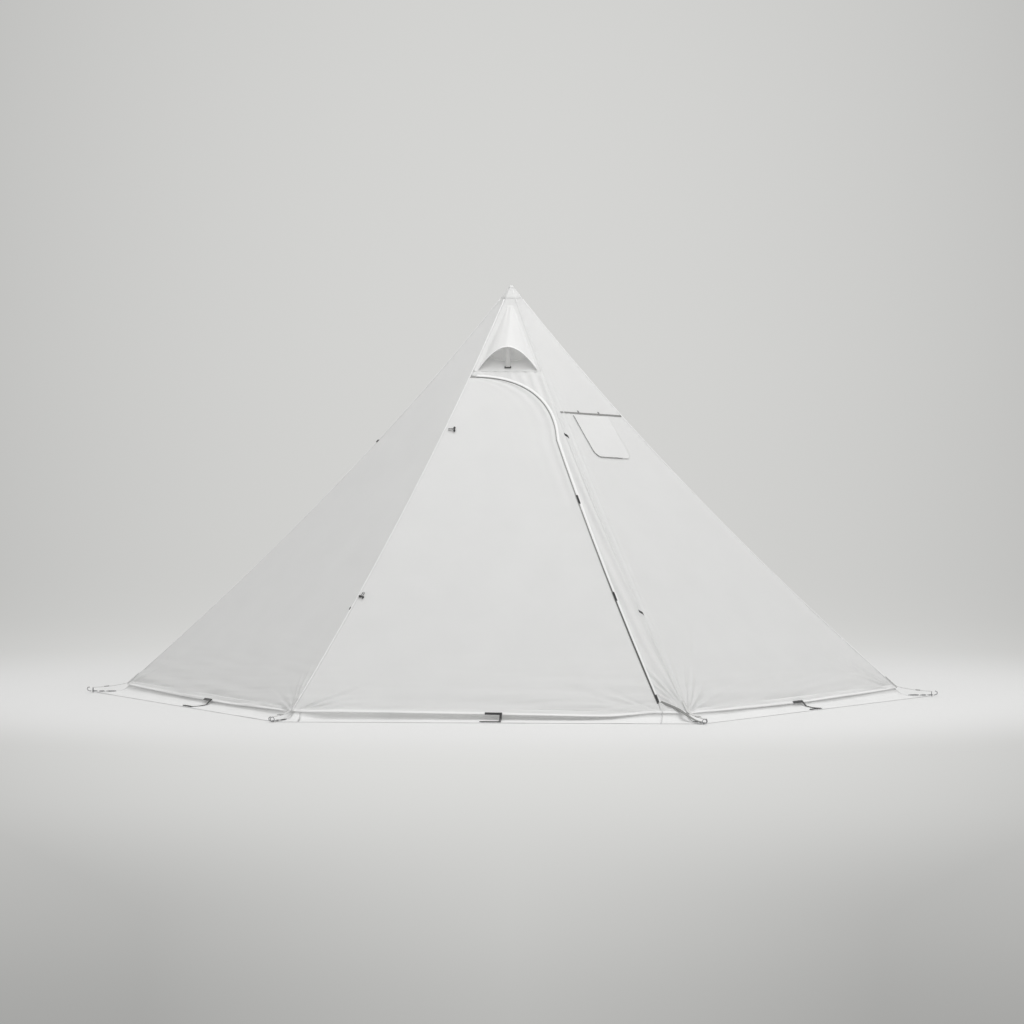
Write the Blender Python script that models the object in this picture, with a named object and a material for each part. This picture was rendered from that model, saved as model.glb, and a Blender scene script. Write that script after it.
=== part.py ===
"""Six-sided tipi tent on one centre pole, with a door, a hooded vent, a stove jack and a snow skirt.

Metres, +Z up. The origin is on the floor under the apex, and the door faces -Y.
Places on the cloth are given as (across, height): metres to the right of the middle of a face,
seen from outside, and metres above the floor.
"""
import math

import bmesh
import bpy
from mathutils import Matrix, Vector

for thing in list(bpy.data.objects):
    bpy.data.objects.remove(thing, do_unlink=True)

# Canopy
CORNER_RADIUS = 1.600       # centre to each corner of the hem
APEX_HEIGHT = 1.700         # where the six ridges would meet
HEM_HEIGHT = 0.035          # the hem hangs this far above the floor
RIDGE_SAG = 0.072           # how far the tight ridges curve in at half height
FACE_BOW = 0.006            # how far the middle of a face is drawn in
CLOTH = 0.0020              # thickness of the canopy cloth as modelled
SEAT = 0.0003               # clearance between pieces that touch
FUSE = 0.0005               # how deep a sewn-on piece sinks into what carries it
RIDGE_TRIM = 0.0012         # what each face stops short of its ridge
WALL_TOP_DROP = 0.020       # the faces end this far below the apex
WALL_COLUMNS = 6
WALL_ROWS = 12

# Seams and hems
TAPE_WING = 0.006           # ridge tape, ridge to each edge
TAPE = 0.0013               # thickness of tapes and bindings
BINDING_WIDTH = 0.010
BINDING_LIFT = 0.001        # binding's lower edge above the hem
BINDING_END = 0.022         # bindings stop this far from the ridges
BINDING_INSET = 0.004       # and this far from the zip
TAPE_TOP_DROP = 0.060       # ridge tapes end this far below the apex
FRONT_SEAM_RISE = 0.022     # seam between the vent panel and the door frame, above the door's top
FRONT_SEAM_TAPE = 0.009
SEAM_TAPE_INSET = 0.008     # a cross seam's tape ends this far from a ridge

# Door and its zip
DOOR_TOP_HEIGHT = 1.330
DOOR_ARCH_RISE = 0.300      # height of the arched shoulder
ARCH_POWER = 2.4            # 2 would be an ellipse, more is squarer
ARCH_START_ANGLE = 7.0
ARCH_END_ANGLE = 88.0
ARCH_ROWS = 8
STRIP_TOP_WIDTH = 0.0486    # wall strip between the zip and the ridge, at the shoulder
STRIP_BOTTOM_WIDTH = 0.106  # the same at the hem
CHAIN_WIDTH = 0.0040        # each half of the zip
CHAIN_THICKNESS = 0.0028
CHAIN_PROUD = 0.0008
CHAIN_FOOT_HEIGHT = 0.070
SLIDER_HEIGHT = 0.095       # the closed slider's middle
SLIDER_TRAVEL = 0.450       # along the straight part of the zip
SLIDER_LENGTH = 0.018
SLIDER_WIDTH = 0.008
SLIDER_THICKNESS = 0.0040
CROWN_LENGTH = 0.007
CROWN_WIDTH = 0.003
CROWN_HEIGHT = 0.0025
PULL_LENGTH = 0.030
PULL_WIDTH = 0.006
PULL_THICKNESS = 0.0010
PULL_LEAN = 0.003           # how far the hanging pull's end drops towards the cloth
ZIP_TAB_HEIGHTS = (0.474, 0.848)
ZIP_TAB_LENGTH = 0.020
ZIP_TAB_WIDTH = 0.009
END_STRAP_WIDTH = 0.011
END_STRAP_HEIGHT = 0.076
END_STRAP_SPACE = 0.014     # zip to the start of the strap

FRONT_SEAM_HEIGHT = DOOR_TOP_HEIGHT + FRONT_SEAM_RISE

# Vent: its sizes are shares of the height between the front seam and the apex
VENT_ROOM = APEX_HEIGHT - FRONT_SEAM_HEIGHT
HOOD_SILL_HEIGHT = FRONT_SEAM_HEIGHT + 0.0144 * VENT_ROOM
HOOD_PEAK_HEIGHT = FRONT_SEAM_HEIGHT + 0.7557 * VENT_ROOM
HOOD_PEAK_HALF_WIDTH = 0.0345 * VENT_ROOM
HOOD_HALF_WIDTH = 0.3506 * VENT_ROOM
HOOD_ARCH_RISE = 0.158 * VENT_ROOM      # the lip's middle starts this much higher on the face
HOOD_LIFT = 0.2011 * VENT_ROOM          # the lip's middle stands this far off the face
HOOD_CLOTH = 0.0016
VENT_FOOT_HEIGHT = FRONT_SEAM_HEIGHT + 0.1724 * VENT_ROOM
VENT_HALF_WIDTH = 0.2069 * VENT_ROOM
VENT_ARCH_RISE = 0.2471 * VENT_ROOM
VENT_FOOT_DIP = 0.0431 * VENT_ROOM
MESH_THICKNESS = 0.0010
MESH_MARGIN = 0.012
STRUT_THICKNESS = 0.0032
STRUT_TOP_WIDTH = 0.014
STRUT_FOOT_WIDTH = 0.019
STRUT_FOOT_RISE = 0.0345 * VENT_ROOM    # the strut's foot above the sill
STRUT_TOP_GAP = 0.0045      # room for the strut's top to turn under the lip
PAD_WIDTH = 0.027
PAD_DEPTH = 0.010
PAD_THICKNESS = 0.0030
PATCH_WIDTH = 0.032
PATCH_DEPTH = 0.046 * VENT_ROOM
PATCH_THICKNESS = 0.0010

# Stove jack
STOVE_TILT = 6.0            # degrees; the seam and flap fall to the right
STOVE_ACROSS = 0.005        # middle of the flap's top edge
STOVE_DROP = 0.533          # the flap's top edge below the apex
FLAP_WIDTH = 0.245
FLAP_LENGTH = 0.215
FLAP_CORNER = 0.036
FLAP_CLOTH = 0.0018
FLAP_LIFT = 0.0006          # the closed flap's clearance off the face
WINDOW_WIDTH = 0.190
WINDOW_LENGTH = 0.165
WINDOW_DROP = 0.024         # flap's top edge to the window's top edge
JACK_MARGIN = 0.018
JACK_THICKNESS = 0.0016
JACK_HOLE_RADIUS = 0.050
STOVE_SEAM_LEFT = 0.200     # the seam's reach to each side of the flap's middle
STOVE_SEAM_RIGHT = 0.216
STOVE_SEAM_RISE = 0.006     # flap's top edge to the seam tape
STOVE_SEAM_TAPE = 0.008
TIE_TAB_WIDTH = 0.008
TIE_TAB_LENGTH = 0.016
TIE_TAB_SPREAD = 0.070

# Toggles, guy points and stake points
TOGGLE_HEIGHTS = (1.121, 0.486)
TOGGLE_INSETS = (0.012, 0.014)  # the toggles' sewn tabs, from the front left ridge
TOGGLE_TAB_WIDTH = 0.010
TOGGLE_TAB_LENGTH = 0.012
TOGGLE_LENGTH = 0.022
TOGGLE_RADIUS = 0.0045
TOGGLE_LOOP = 0.026         # from the tab to the toggle's middle
TOGGLE_RISE = 0.0027        # how far the loop rises to the toggle
TOGGLE_LOOP_HALF_WIDTH = 0.0035
TOGGLE_LOOP_CORD = 0.0025
TOGGLE_LOOP_PINCH = 0.85    # the loop's feet, as a share of its half width
GUY_HIGH = 1.095
GUY_LOW = 0.425
GUY_LEFT = 1.050            # the left ridge's only tab
GUY_TAB_WIDTH = 0.016
GUY_TAB_LENGTH = 0.018
WEBBING = 0.0018
HEM_TAB_WIDTH = 0.070
HEM_TAB_LENGTH = 0.011
HEM_TAB_ACROSS = 0.014      # the tab's middle, right of the middle of its face
HEM_STRAP_WIDTH = 0.010     # from the tab's right end down to the stake loop
HEM_LOOP_LENGTH = 0.080
HEM_LOOP_WIDTH = 0.012
HEM_LOOP_CORD = 0.0036
CORNER_STRAP_WIDTH = 0.012
CORNER_STRAP_REACH = 0.045  # how far up the ridge the corner strap is sewn
BUCKLE_WIDTH = 0.020
BUCKLE_LENGTH = 0.020
BUCKLE_THICKNESS = 0.0030
BUCKLE_START = 0.077        # the strap runs straight through its buckle, between these distances
BUCKLE_END = 0.037          # from the stake ring
PEG_RING_PLACE = CORNER_RADIUS + 0.142  # centre of the tent to each stake ring
PEG_RING_RADIUS = 0.0095
PEG_RING_WIRE = 0.0030
PEG_WIRE = 0.0050
PEG_SHANK = 0.100
PEG_HOOK = 0.024
PEG_HOOK_RISE = 0.016

# Skirt
SKIRT_WIDTH = 0.110
SKIRT_CLOTH = 0.0020
SKIRT_COLUMNS = 8
SKIRT_LAND = 0.034          # the skirt reaches the floor this far beyond the hem
SKIRT_SEAM_RISE = 0.015     # the skirt is sewn inside the wall this far above the hem
DOOR_SKIRT_START = 0.030    # the door's skirt starts this far right of the corner
DOOR_SKIRT_LIFT = 0.0005

# Centre pole
LOWER_TUBE_RADIUS = 0.0160
TUBE_WALL = 0.0015
TUBE_CLEARANCE = 0.0003
LOWER_TUBE_TOP = 1.000
UPPER_TUBE_FOOT = 0.560
UPPER_TUBE_DROP = 0.070     # the upper tube's end below the apex
FOOT_RADIUS = 0.024
FOOT_HEIGHT = 0.026
FOOT_FLOOR = 0.004
FOOT_WALL = 0.003
NOSE_RADIUS = 0.0115
NOSE_CHAMFER = 0.002
TIP_COLLAR_RADIUS = 0.0150
TIP_COLLAR_HEIGHT = 0.008
TIP_STEM_LENGTH = 0.030
POCKET_HEIGHT = 0.060
POCKET_CLOTH = 0.0015
CAP_HEIGHT = 0.055
CAP_CLOTH = 0.0015
CAP_CROWN = 0.018           # how far the cap's point stands above the faces' top
CLAMP_HEIGHT = 0.028
CLAMP_RADIUS = 0.0205
CLAMP_LIP = 0.010
EAR_REACH = 0.034
EAR_HALF_WIDTH = 0.008
EAR_HEIGHT = 0.018
CLAMP_SLIT = 0.0024
BOLT_RADIUS = 0.0020
BOLT_HEAD_RADIUS = 0.0040
BOLT_HEAD = 0.003
BOLT_PLACE = 0.028
LEVER_HUB_RADIUS = 0.0058
LEVER_ARM_RADIUS = 0.0250
LEVER_THICKNESS = 0.0030
LEVER_END_ANGLE = 150.0
ROUND_SIDES = 24

FRONT, FRONT_RIGHT, BACK_RIGHT, BACK, BACK_LEFT, FRONT_LEFT = -90, -30, 30, 90, 150, 210
PLAIN_SIDES = {"front_right": FRONT_RIGHT, "back_right": BACK_RIGHT, "back": BACK,
               "back_left": BACK_LEFT, "front_left": FRONT_LEFT}
CORNERS = {"front_left": -120, "front_right": -60, "right": 0, "back_right": 60,
           "back_left": 120, "left": 180}
GUY_TABS = {"front_left": [GUY_LOW], "front_right": [GUY_HIGH, GUY_LOW], "right": [],
            "back_right": [GUY_HIGH, GUY_LOW], "back_left": [GUY_HIGH, GUY_LOW], "left": [GUY_LEFT]}
HALF_SECTOR = math.radians(30)
DROP_RANGE = APEX_HEIGHT - HEM_HEIGHT
WALL_TOP = APEX_HEIGHT - WALL_TOP_DROP
STOVE_HEIGHT = APEX_HEIGHT - STOVE_DROP
UPPER_TUBE_TOP = APEX_HEIGHT - UPPER_TUBE_DROP
BAND = (WALL_TOP - HEM_HEIGHT) / WALL_ROWS
BREAKS = [HEM_HEIGHT + BAND * row for row in range(WALL_ROWS + 1)]
ON_TAPE = TAPE + SEAT       # a tape's outer side above the cloth


# Surfaces and tools

def own_material(node, kind):
    """A plain surface of one kind, made once for each piece."""
    kinds = {
        "canopy": ((0.80, 0.80, 0.79), 0.60, 0.0),
        "heat_cloth": ((0.42, 0.42, 0.41), 0.70, 0.0),
        "tape": ((0.74, 0.74, 0.73), 0.60, 0.0),
        "net": ((0.05, 0.05, 0.05), 0.80, 0.0),
        "black_webbing": ((0.03, 0.03, 0.03), 0.70, 0.0),
        "grey_webbing": ((0.22, 0.22, 0.21), 0.75, 0.0),
        "black_plastic": ((0.02, 0.02, 0.02), 0.45, 0.0),
        "zip": ((0.06, 0.06, 0.06), 0.55, 0.0),
        "aluminium": ((0.70, 0.70, 0.72), 0.35, 1.0),
        "rubber": ((0.03, 0.03, 0.03), 0.85, 0.0),
    }
    colour, roughness, metallic = kinds[kind]
    made = bpy.data.materials.new(node + "_" + kind)
    made.use_nodes = True
    shader = made.node_tree.nodes["Principled BSDF"]
    shader.inputs["Base Color"].default_value = (*colour, 1.0)
    shader.inputs["Roughness"].default_value = roughness
    shader.inputs["Metallic"].default_value = metallic
    return made


def add_object(node, data, kind):
    """Put a mesh in the scene as one named piece."""
    piece = bpy.data.objects.new(node, data)
    bpy.context.scene.collection.objects.link(piece)
    data.materials.append(own_material(node, kind))
    return piece


def thicken(piece, thickness):
    solid = piece.modifiers.new("Thickness", "SOLIDIFY")
    solid.thickness = thickness
    solid.offset = -1
    solid.use_even_offset = True


def sheet(node, kind, columns, rows, place, thickness):
    """Thin cloth: a grid laid over its outer surface by a place function, thickened inwards."""
    mesh = bpy.data.meshes.new(node)
    grid = bmesh.new()
    made = bmesh.ops.create_grid(grid, x_segments=columns, y_segments=rows, size=0.5)
    for vert in made["verts"]:
        vert.co = place(vert.co.x + 0.5, vert.co.y + 0.5)
    grid.to_mesh(mesh)
    grid.free()
    mesh.shade_smooth()
    piece = add_object(node, mesh, kind)
    thicken(piece, thickness)
    return piece


def turned(node, kind, profile, closed=False, steps=ROUND_SIDES):
    """A round piece: a profile of (radius, height) turned about the piece's upright axis."""
    mesh = bpy.data.meshes.new(node)
    outline = bmesh.new()
    points = [outline.verts.new((radius, 0, height)) for radius, height in profile]
    for first, second in zip(points, points[1:]):
        outline.edges.new((first, second))
    if closed:
        outline.edges.new((points[-1], points[0]))
    outline.to_mesh(mesh)
    outline.free()
    piece = add_object(node, mesh, kind)
    screw = piece.modifiers.new("Turn", "SCREW")
    screw.steps = steps
    screw.render_steps = steps
    screw.use_merge_vertices = True
    screw.merge_threshold = 0.00001
    screw.use_smooth_shade = True
    return piece


def wire(node, kind, route, diameter, cyclic=False):
    """Bent wire: one round bar along a route."""
    curve = bpy.data.curves.new(node, "CURVE")
    curve.dimensions = "3D"
    curve.bevel_depth = diameter / 2
    curve.bevel_resolution = 1
    curve.use_fill_caps = not cyclic
    spline = curve.splines.new("POLY")
    spline.points.add(len(route) - 1)
    for point, place in zip(spline.points, route):
        point.co = (*place, 1.0)
    spline.use_cyclic_u = cyclic
    holder = bpy.data.objects.new(node + "_curve", curve)
    bpy.context.scene.collection.objects.link(holder)
    mesh = bpy.data.meshes.new_from_object(holder)
    bpy.data.objects.remove(holder)
    bar = bmesh.new()
    bar.from_mesh(mesh)
    bmesh.ops.remove_doubles(bar, verts=bar.verts, dist=0.00001)
    bar.to_mesh(mesh)
    bar.free()
    mesh.shade_smooth()
    return add_object(node, mesh, kind)


def block(node, kind, centre, size, axes=None, bevel=0.0):
    """A box turned to the given axes, with its edges rounded."""
    mesh = bpy.data.meshes.new(node)
    box = bmesh.new()
    bmesh.ops.create_cube(box, size=1.0)
    bmesh.ops.scale(box, vec=size, verts=box.verts)
    box.to_mesh(mesh)
    box.free()
    turn = Matrix.Identity(3) if axes is None else Matrix(axes).transposed()
    mesh.transform(Matrix.Translation(centre) @ turn.to_4x4())
    if turn.determinant() < 0:
        mesh.flip_normals()
    piece = add_object(node, mesh, kind)
    if bevel:
        rounding = piece.modifiers.new("Rounding", "BEVEL")
        rounding.width = bevel
        rounding.segments = 2
    return piece


def prism(node, outline, depth):
    """A flat outline pushed through along a vector, half to each side."""
    mesh = bpy.data.meshes.new(node)
    solid = bmesh.new()
    face = solid.faces.new([solid.verts.new(point - depth / 2) for point in outline])
    raised = bmesh.ops.extrude_face_region(solid, geom=[face])
    lifted = [item for item in raised["geom"] if isinstance(item, bmesh.types.BMVert)]
    bmesh.ops.translate(solid, vec=depth, verts=lifted)
    bmesh.ops.recalc_face_normals(solid, faces=solid.faces)
    solid.to_mesh(mesh)
    solid.free()
    return add_object(node, mesh, "tape")


def rod(node, centre, radius, length):
    """A round bar along Y."""
    mesh = bpy.data.meshes.new(node)
    bar = bmesh.new()
    bmesh.ops.create_cone(bar, cap_ends=True, segments=12, radius1=radius, radius2=radius, depth=length)
    bar.to_mesh(mesh)
    bar.free()
    mesh.transform(Matrix.Translation(centre) @ Matrix.Rotation(math.radians(90), 4, "X"))
    return add_object(node, mesh, "aluminium")


def combine(piece, guide, operation):
    """Join a guide to a piece, or cut the piece with it."""
    step = piece.modifiers.new(guide.name, "BOOLEAN")
    step.operation = operation
    step.object = guide
    guide.hide_render = True
    guide.display_type = "WIRE"


def fuse(piece, *guides):
    for guide in guides:
        combine(piece, guide, "UNION")
    return piece


def cut(piece, *guides):
    for guide in guides:
        combine(piece, guide, "DIFFERENCE")
    return piece


def pivot(name, place, parent=None):
    """An empty on a joint's axis, which carries what moves."""
    empty = bpy.data.objects.new(name, None)
    bpy.context.scene.collection.objects.link(empty)
    empty.parent = parent
    empty.location = place - parent.location if parent else place
    return empty


def carry(empty, *pieces):
    """Hang pieces, with the guides they are joined or cut by, on a pivot without moving them."""
    place = empty.location + empty.parent.location if empty.parent else empty.location
    guides = [step.object for piece in pieces for step in piece.modifiers if step.type == "BOOLEAN"]
    for piece in list(pieces) + guides:
        piece.location = piece.location - place
        piece.parent = empty


# The canopy's shape

def between(first, second, share):
    return first + (second - first) * share


def even(start, end, count):
    return [between(start, end, step / count) for step in range(count + 1)]


def drop(height):
    """0 at the apex, 1 at the hem."""
    return (APEX_HEIGHT - height) / DROP_RANGE


def sagged_radius(height):
    share = drop(height)
    return CORNER_RADIUS * share - RIDGE_SAG * 4 * share * (1 - share)


def ridge_radius(height):
    """Centre to a ridge, at a height: straight between the canopy's rows."""
    row = min(max(int((height - HEM_HEIGHT) / BAND), 0), WALL_ROWS - 1)
    low, high = BREAKS[row], BREAKS[row + 1]
    return between(sagged_radius(low), sagged_radius(high), (height - low) / BAND)


def apothem(height):
    """Centre to the middle of a face, at a height."""
    return ridge_radius(height) * math.cos(HALF_SECTOR)


def half_width(height):
    """Middle of a face to its ridge, at a height."""
    return ridge_radius(height) * math.sin(HALF_SECTOR)


def height_at_apothem(distance):
    """The height at which a face is this far from the centre, no higher than its top."""
    for low, high in zip(BREAKS, BREAKS[1:]):
        if apothem(high) <= distance:
            return between(low, high, (apothem(low) - distance) / (apothem(low) - apothem(high)))
    return WALL_TOP


def slant(height):
    """How fast a face runs outwards as it comes down."""
    growth = CORNER_RADIUS - RIDGE_SAG * 4 * (1 - 2 * drop(height))
    return growth * math.cos(HALF_SECTOR) / DROP_RANGE


def slope_length(height):
    """Metres along the cloth for each metre of height."""
    return math.hypot(1, slant(height))


def outwards(angle):
    """Level direction away from the centre."""
    turn = math.radians(angle)
    return Vector((math.cos(turn), math.sin(turn), 0))


def sideways(angle):
    """Level direction to the right, seen from outside."""
    turn = math.radians(angle)
    return Vector((-math.sin(turn), math.cos(turn), 0))


def upright(height):
    return Vector((0, 0, height))


def face_normal(side, height):
    """Square out of the cloth."""
    return (outwards(side) + upright(slant(height))).normalized()


def up_slope(side, height):
    """Up the cloth, towards the apex."""
    return (upright(1) - outwards(side) * slant(height)).normalized()


def on_face(side, across, height, out=0.0):
    """A point on a face, or a distance out from it."""
    share = min(max(drop(height), 0), 1)
    bow = FACE_BOW * math.sin(math.pi * share) ** 2 * max(0, 1 - (across / half_width(height)) ** 2)
    place = outwards(side) * (apothem(height) - bow) + sideways(side) * across + upright(height)
    return place + face_normal(side, height) * out


def on_ridge(corner, height, out=0.0):
    """A point on a ridge, or the same distance out from both of its faces."""
    left = face_normal(corner - 30, height)
    right = face_normal(corner + 30, height)
    place = outwards(corner) * ridge_radius(height) + upright(height)
    return place + (left + right) * (out / (1 + left.dot(right)))


def beside_ridge(corner, aside, height, out):
    """A point a signed distance to the right of a ridge, lying on the face there."""
    if aside == 0:
        return on_ridge(corner, height, out)
    reach = half_width(height) - abs(aside)
    if aside < 0:
        return on_face(corner - 30, reach, height, out)
    return on_face(corner + 30, -reach, height, out)


def circle(centre, first, second, radius, count):
    """Points round a circle, in the plane of two directions."""
    points = []
    for step in range(count):
        angle = 2 * math.pi * step / count
        points.append(centre + first * (radius * math.cos(angle)) + second * (radius * math.sin(angle)))
    return points


def patch(side, lefts, rights, out=0.0):
    """A place function between two lines of (across, height) points."""
    last = len(lefts) - 1

    def place(u, v):
        row = round(v * last)
        across = between(lefts[row][0], rights[row][0], u)
        height = between(lefts[row][1], rights[row][1], u)
        return on_face(side, across, height, out)
    return place


def box_patch(side, left, right, low, high, out):
    return lambda u, v: on_face(side, between(left, right, u), between(low, high, v), out)


def ridge_edge(heights, sign, trim=RIDGE_TRIM):
    """The edge of a face along a ridge: sign -1 is its left ridge, 1 its right."""
    return [(sign * (half_width(height) - trim), height) for height in heights]


def smooth_route(points, steps):
    """A smooth curve through hand-set points, heading at each one from the last to the next."""
    padded = [2 * points[0] - points[1]] + points + [2 * points[-1] - points[-2]]
    route = [points[0]]
    for before, start, end, after in zip(padded, padded[1:], padded[2:], padded[3:]):
        length = (end - start).length
        leave = (end - before).normalized() * length
        arrive = (after - start).normalized() * length
        for step in range(1, steps + 1):
            t = step / steps
            route.append(start * (2 * t ** 3 - 3 * t ** 2 + 1) + leave * (t ** 3 - 2 * t ** 2 + t)
                         + end * (3 * t ** 2 - 2 * t ** 3) + arrive * (t ** 3 - t ** 2))
    return route


def strap(node, kind, route, first, after, width, flat_rows=0):
    """Webbing along a route: flat on the cloth for its first rows, then turning to lie level."""
    last = len(route) - 1

    def place(u, v):
        row = round(v * last)
        turn = min(1, max(0, row - flat_rows) * 2 / last)
        return route[row] + between(first, after, turn).normalized() * (width * (u - 0.5))
    return sheet(node, kind, 1, last, place, WEBBING)


# Walls: five plain faces, and the front in two panels round the door

def zip_line():
    """The middle of the zip, from the hem up and round the shoulder to the front left ridge."""
    spring = DOOR_TOP_HEIGHT - DOOR_ARCH_RISE
    left = -half_width(DOOR_TOP_HEIGHT)
    angles = [math.radians(degrees) for degrees in even(ARCH_START_ANGLE, ARCH_END_ANGLE, ARCH_ROWS)]
    power = 2 / ARCH_POWER
    shoulder = spring + DOOR_ARCH_RISE * math.sin(angles[0]) ** power
    span = (half_width(shoulder) - STRIP_TOP_WIDTH - left) / math.cos(angles[0]) ** power

    def arch_point(angle):
        return (left + span * math.cos(angle) ** power, spring + DOOR_ARCH_RISE * math.sin(angle) ** power)

    for height in BREAKS:
        if shoulder + 0.01 < height < DOOR_TOP_HEIGHT - 0.01:
            angles.append(math.asin(((height - spring) / DOOR_ARCH_RISE) ** (ARCH_POWER / 2)))
    arch = [arch_point(angle) for angle in sorted(angles)]
    taper = (STRIP_BOTTOM_WIDTH - STRIP_TOP_WIDTH) / (shoulder - HEM_HEIGHT)
    straight = []
    for height in BREAKS:
        if height < shoulder - 0.01:
            strip = STRIP_BOTTOM_WIDTH - taper * (height - HEM_HEIGHT)
            straight.append((half_width(height) - strip, height))
    return straight + arch


def beside(line, distance):
    """The same line moved sideways on the cloth, to the right of its way up; its foot stays level."""
    moved = []
    for index, (across, height) in enumerate(line):
        before = line[max(index - 1, 0)]
        after = line[min(index + 1, len(line) - 1)]
        stretch = slope_length(height)
        along = Vector((after[0] - before[0], (after[1] - before[1]) * stretch)).normalized()
        moved.append((across + along.y * distance, height - along.x * distance / stretch))
    foot = line[0][1]
    share = (foot - moved[0][1]) / (moved[1][1] - moved[0][1])
    moved[0] = (between(moved[0][0], moved[1][0], share), foot)
    return moved


def passing(line, height):
    """Where a line of (across, height) points passes a height."""
    for first, second in zip(line, line[1:]):
        if first[1] <= height <= second[1]:
            share = (height - first[1]) / (second[1] - first[1])
            return between(first[0], second[0], share)
    return line[0][0]


ZIP = zip_line()
ZIP_HALF = CHAIN_WIDTH + 2 * SEAT
FRAME_EDGE = beside(ZIP, ZIP_HALF)
DOOR_EDGE = beside(ZIP, -ZIP_HALF)


def hem_binding(node, side, left, right):
    """Folded tape sewn over the lower edge of a panel."""
    low = HEM_HEIGHT + BINDING_LIFT
    high = low + BINDING_WIDTH / slope_length(HEM_HEIGHT)
    return sheet(node + "_binding_guide", "tape", 2, 1,
                 box_patch(side, left, right, low, high, TAPE), TAPE + FUSE)


def make_walls():
    for name, side in PLAIN_SIDES.items():
        node = "wall_" + name
        place = patch(side, ridge_edge(BREAKS, -1), ridge_edge(BREAKS, 1))
        panel = sheet(node, "canopy", WALL_COLUMNS, WALL_ROWS, place, CLOTH)
        reach = half_width(HEM_HEIGHT) - BINDING_END
        fuse(panel, hem_binding(node, side, -reach, reach))

    foot = FRONT_SEAM_HEIGHT + SEAT
    heights = [foot] + [height for height in BREAKS if height > foot + 0.01]
    place = patch(FRONT, ridge_edge(heights, -1), ridge_edge(heights, 1))
    top = sheet("wall_front_top", "canopy", 8, len(heights) - 1, place, CLOTH)
    fuse(top, seam_tape(), strut_patch())
    cut(top, prism("vent_cutter", vent_outline(), face_normal(FRONT, VENT_FOOT_HEIGHT) * 0.05))

    above = [FRAME_EDGE[-1][1] + 0.003, FRONT_SEAM_HEIGHT - SEAT]
    lefts = FRAME_EDGE + ridge_edge(above, -1)
    rights = ridge_edge([height for across, height in FRAME_EDGE] + above, 1)
    frame = sheet("wall_front_frame", "canopy", 4, len(lefts) - 1, patch(FRONT, lefts, rights), CLOTH)
    fuse(frame, hem_binding("wall_front_frame", FRONT, FRAME_EDGE[0][0] + BINDING_INSET,
                            half_width(HEM_HEIGHT) - BINDING_END))


def seam_tape():
    """Tape along the foot of the vent panel, lapping over the door frame."""
    top = FRONT_SEAM_HEIGHT + SEAT
    foot = FRONT_SEAM_HEIGHT - FRONT_SEAM_TAPE / slope_length(FRONT_SEAM_HEIGHT)
    rows = ((foot, ON_TAPE), (top, ON_TAPE), (top + 0.002, TAPE - FUSE), (top + 0.004, TAPE - FUSE))

    def place(u, v):
        height, out = rows[round(v * 3)]
        reach = half_width(height) - SEAM_TAPE_INSET
        return on_face(FRONT, reach * (2 * u - 1), height, out)
    return sheet("seam_tape_guide", "tape", 6, 3, place, TAPE)


def strut_patch():
    """Patch on the vent panel where the strut's foot is held."""
    middle = HOOD_SILL_HEIGHT + STRUT_FOOT_RISE
    rise = PATCH_DEPTH / 2 / slope_length(middle)
    half = PATCH_WIDTH / 2
    place = box_patch(FRONT, -half, half, middle - rise, middle + rise, PATCH_THICKNESS)
    return sheet("strut_patch_guide", "black_webbing", 1, 1, place, PATCH_THICKNESS + 2 * FUSE)


def flattened(points, centre, normal):
    """The points moved square onto the plane through a centre."""
    return [point - normal * (point - centre).dot(normal) for point in points]


def vent_outline():
    """The vent's mouth in the front face: an arch over a foot that dips in the middle."""
    outline = []
    for angle in even(0, math.pi, 13):
        outline.append((VENT_HALF_WIDTH * math.cos(angle),
                        VENT_FOOT_HEIGHT + VENT_ARCH_RISE * math.sin(angle)))
    for share in even(-1, 1, 6)[1:-1]:
        outline.append((VENT_HALF_WIDTH * share, VENT_FOOT_HEIGHT - VENT_FOOT_DIP * (1 - share ** 2)))
    return flattened([on_face(FRONT, across, height) for across, height in outline],
                     on_face(FRONT, 0, VENT_FOOT_HEIGHT), face_normal(FRONT, VENT_FOOT_HEIGHT))


# Door, its zip and its skirt

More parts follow.
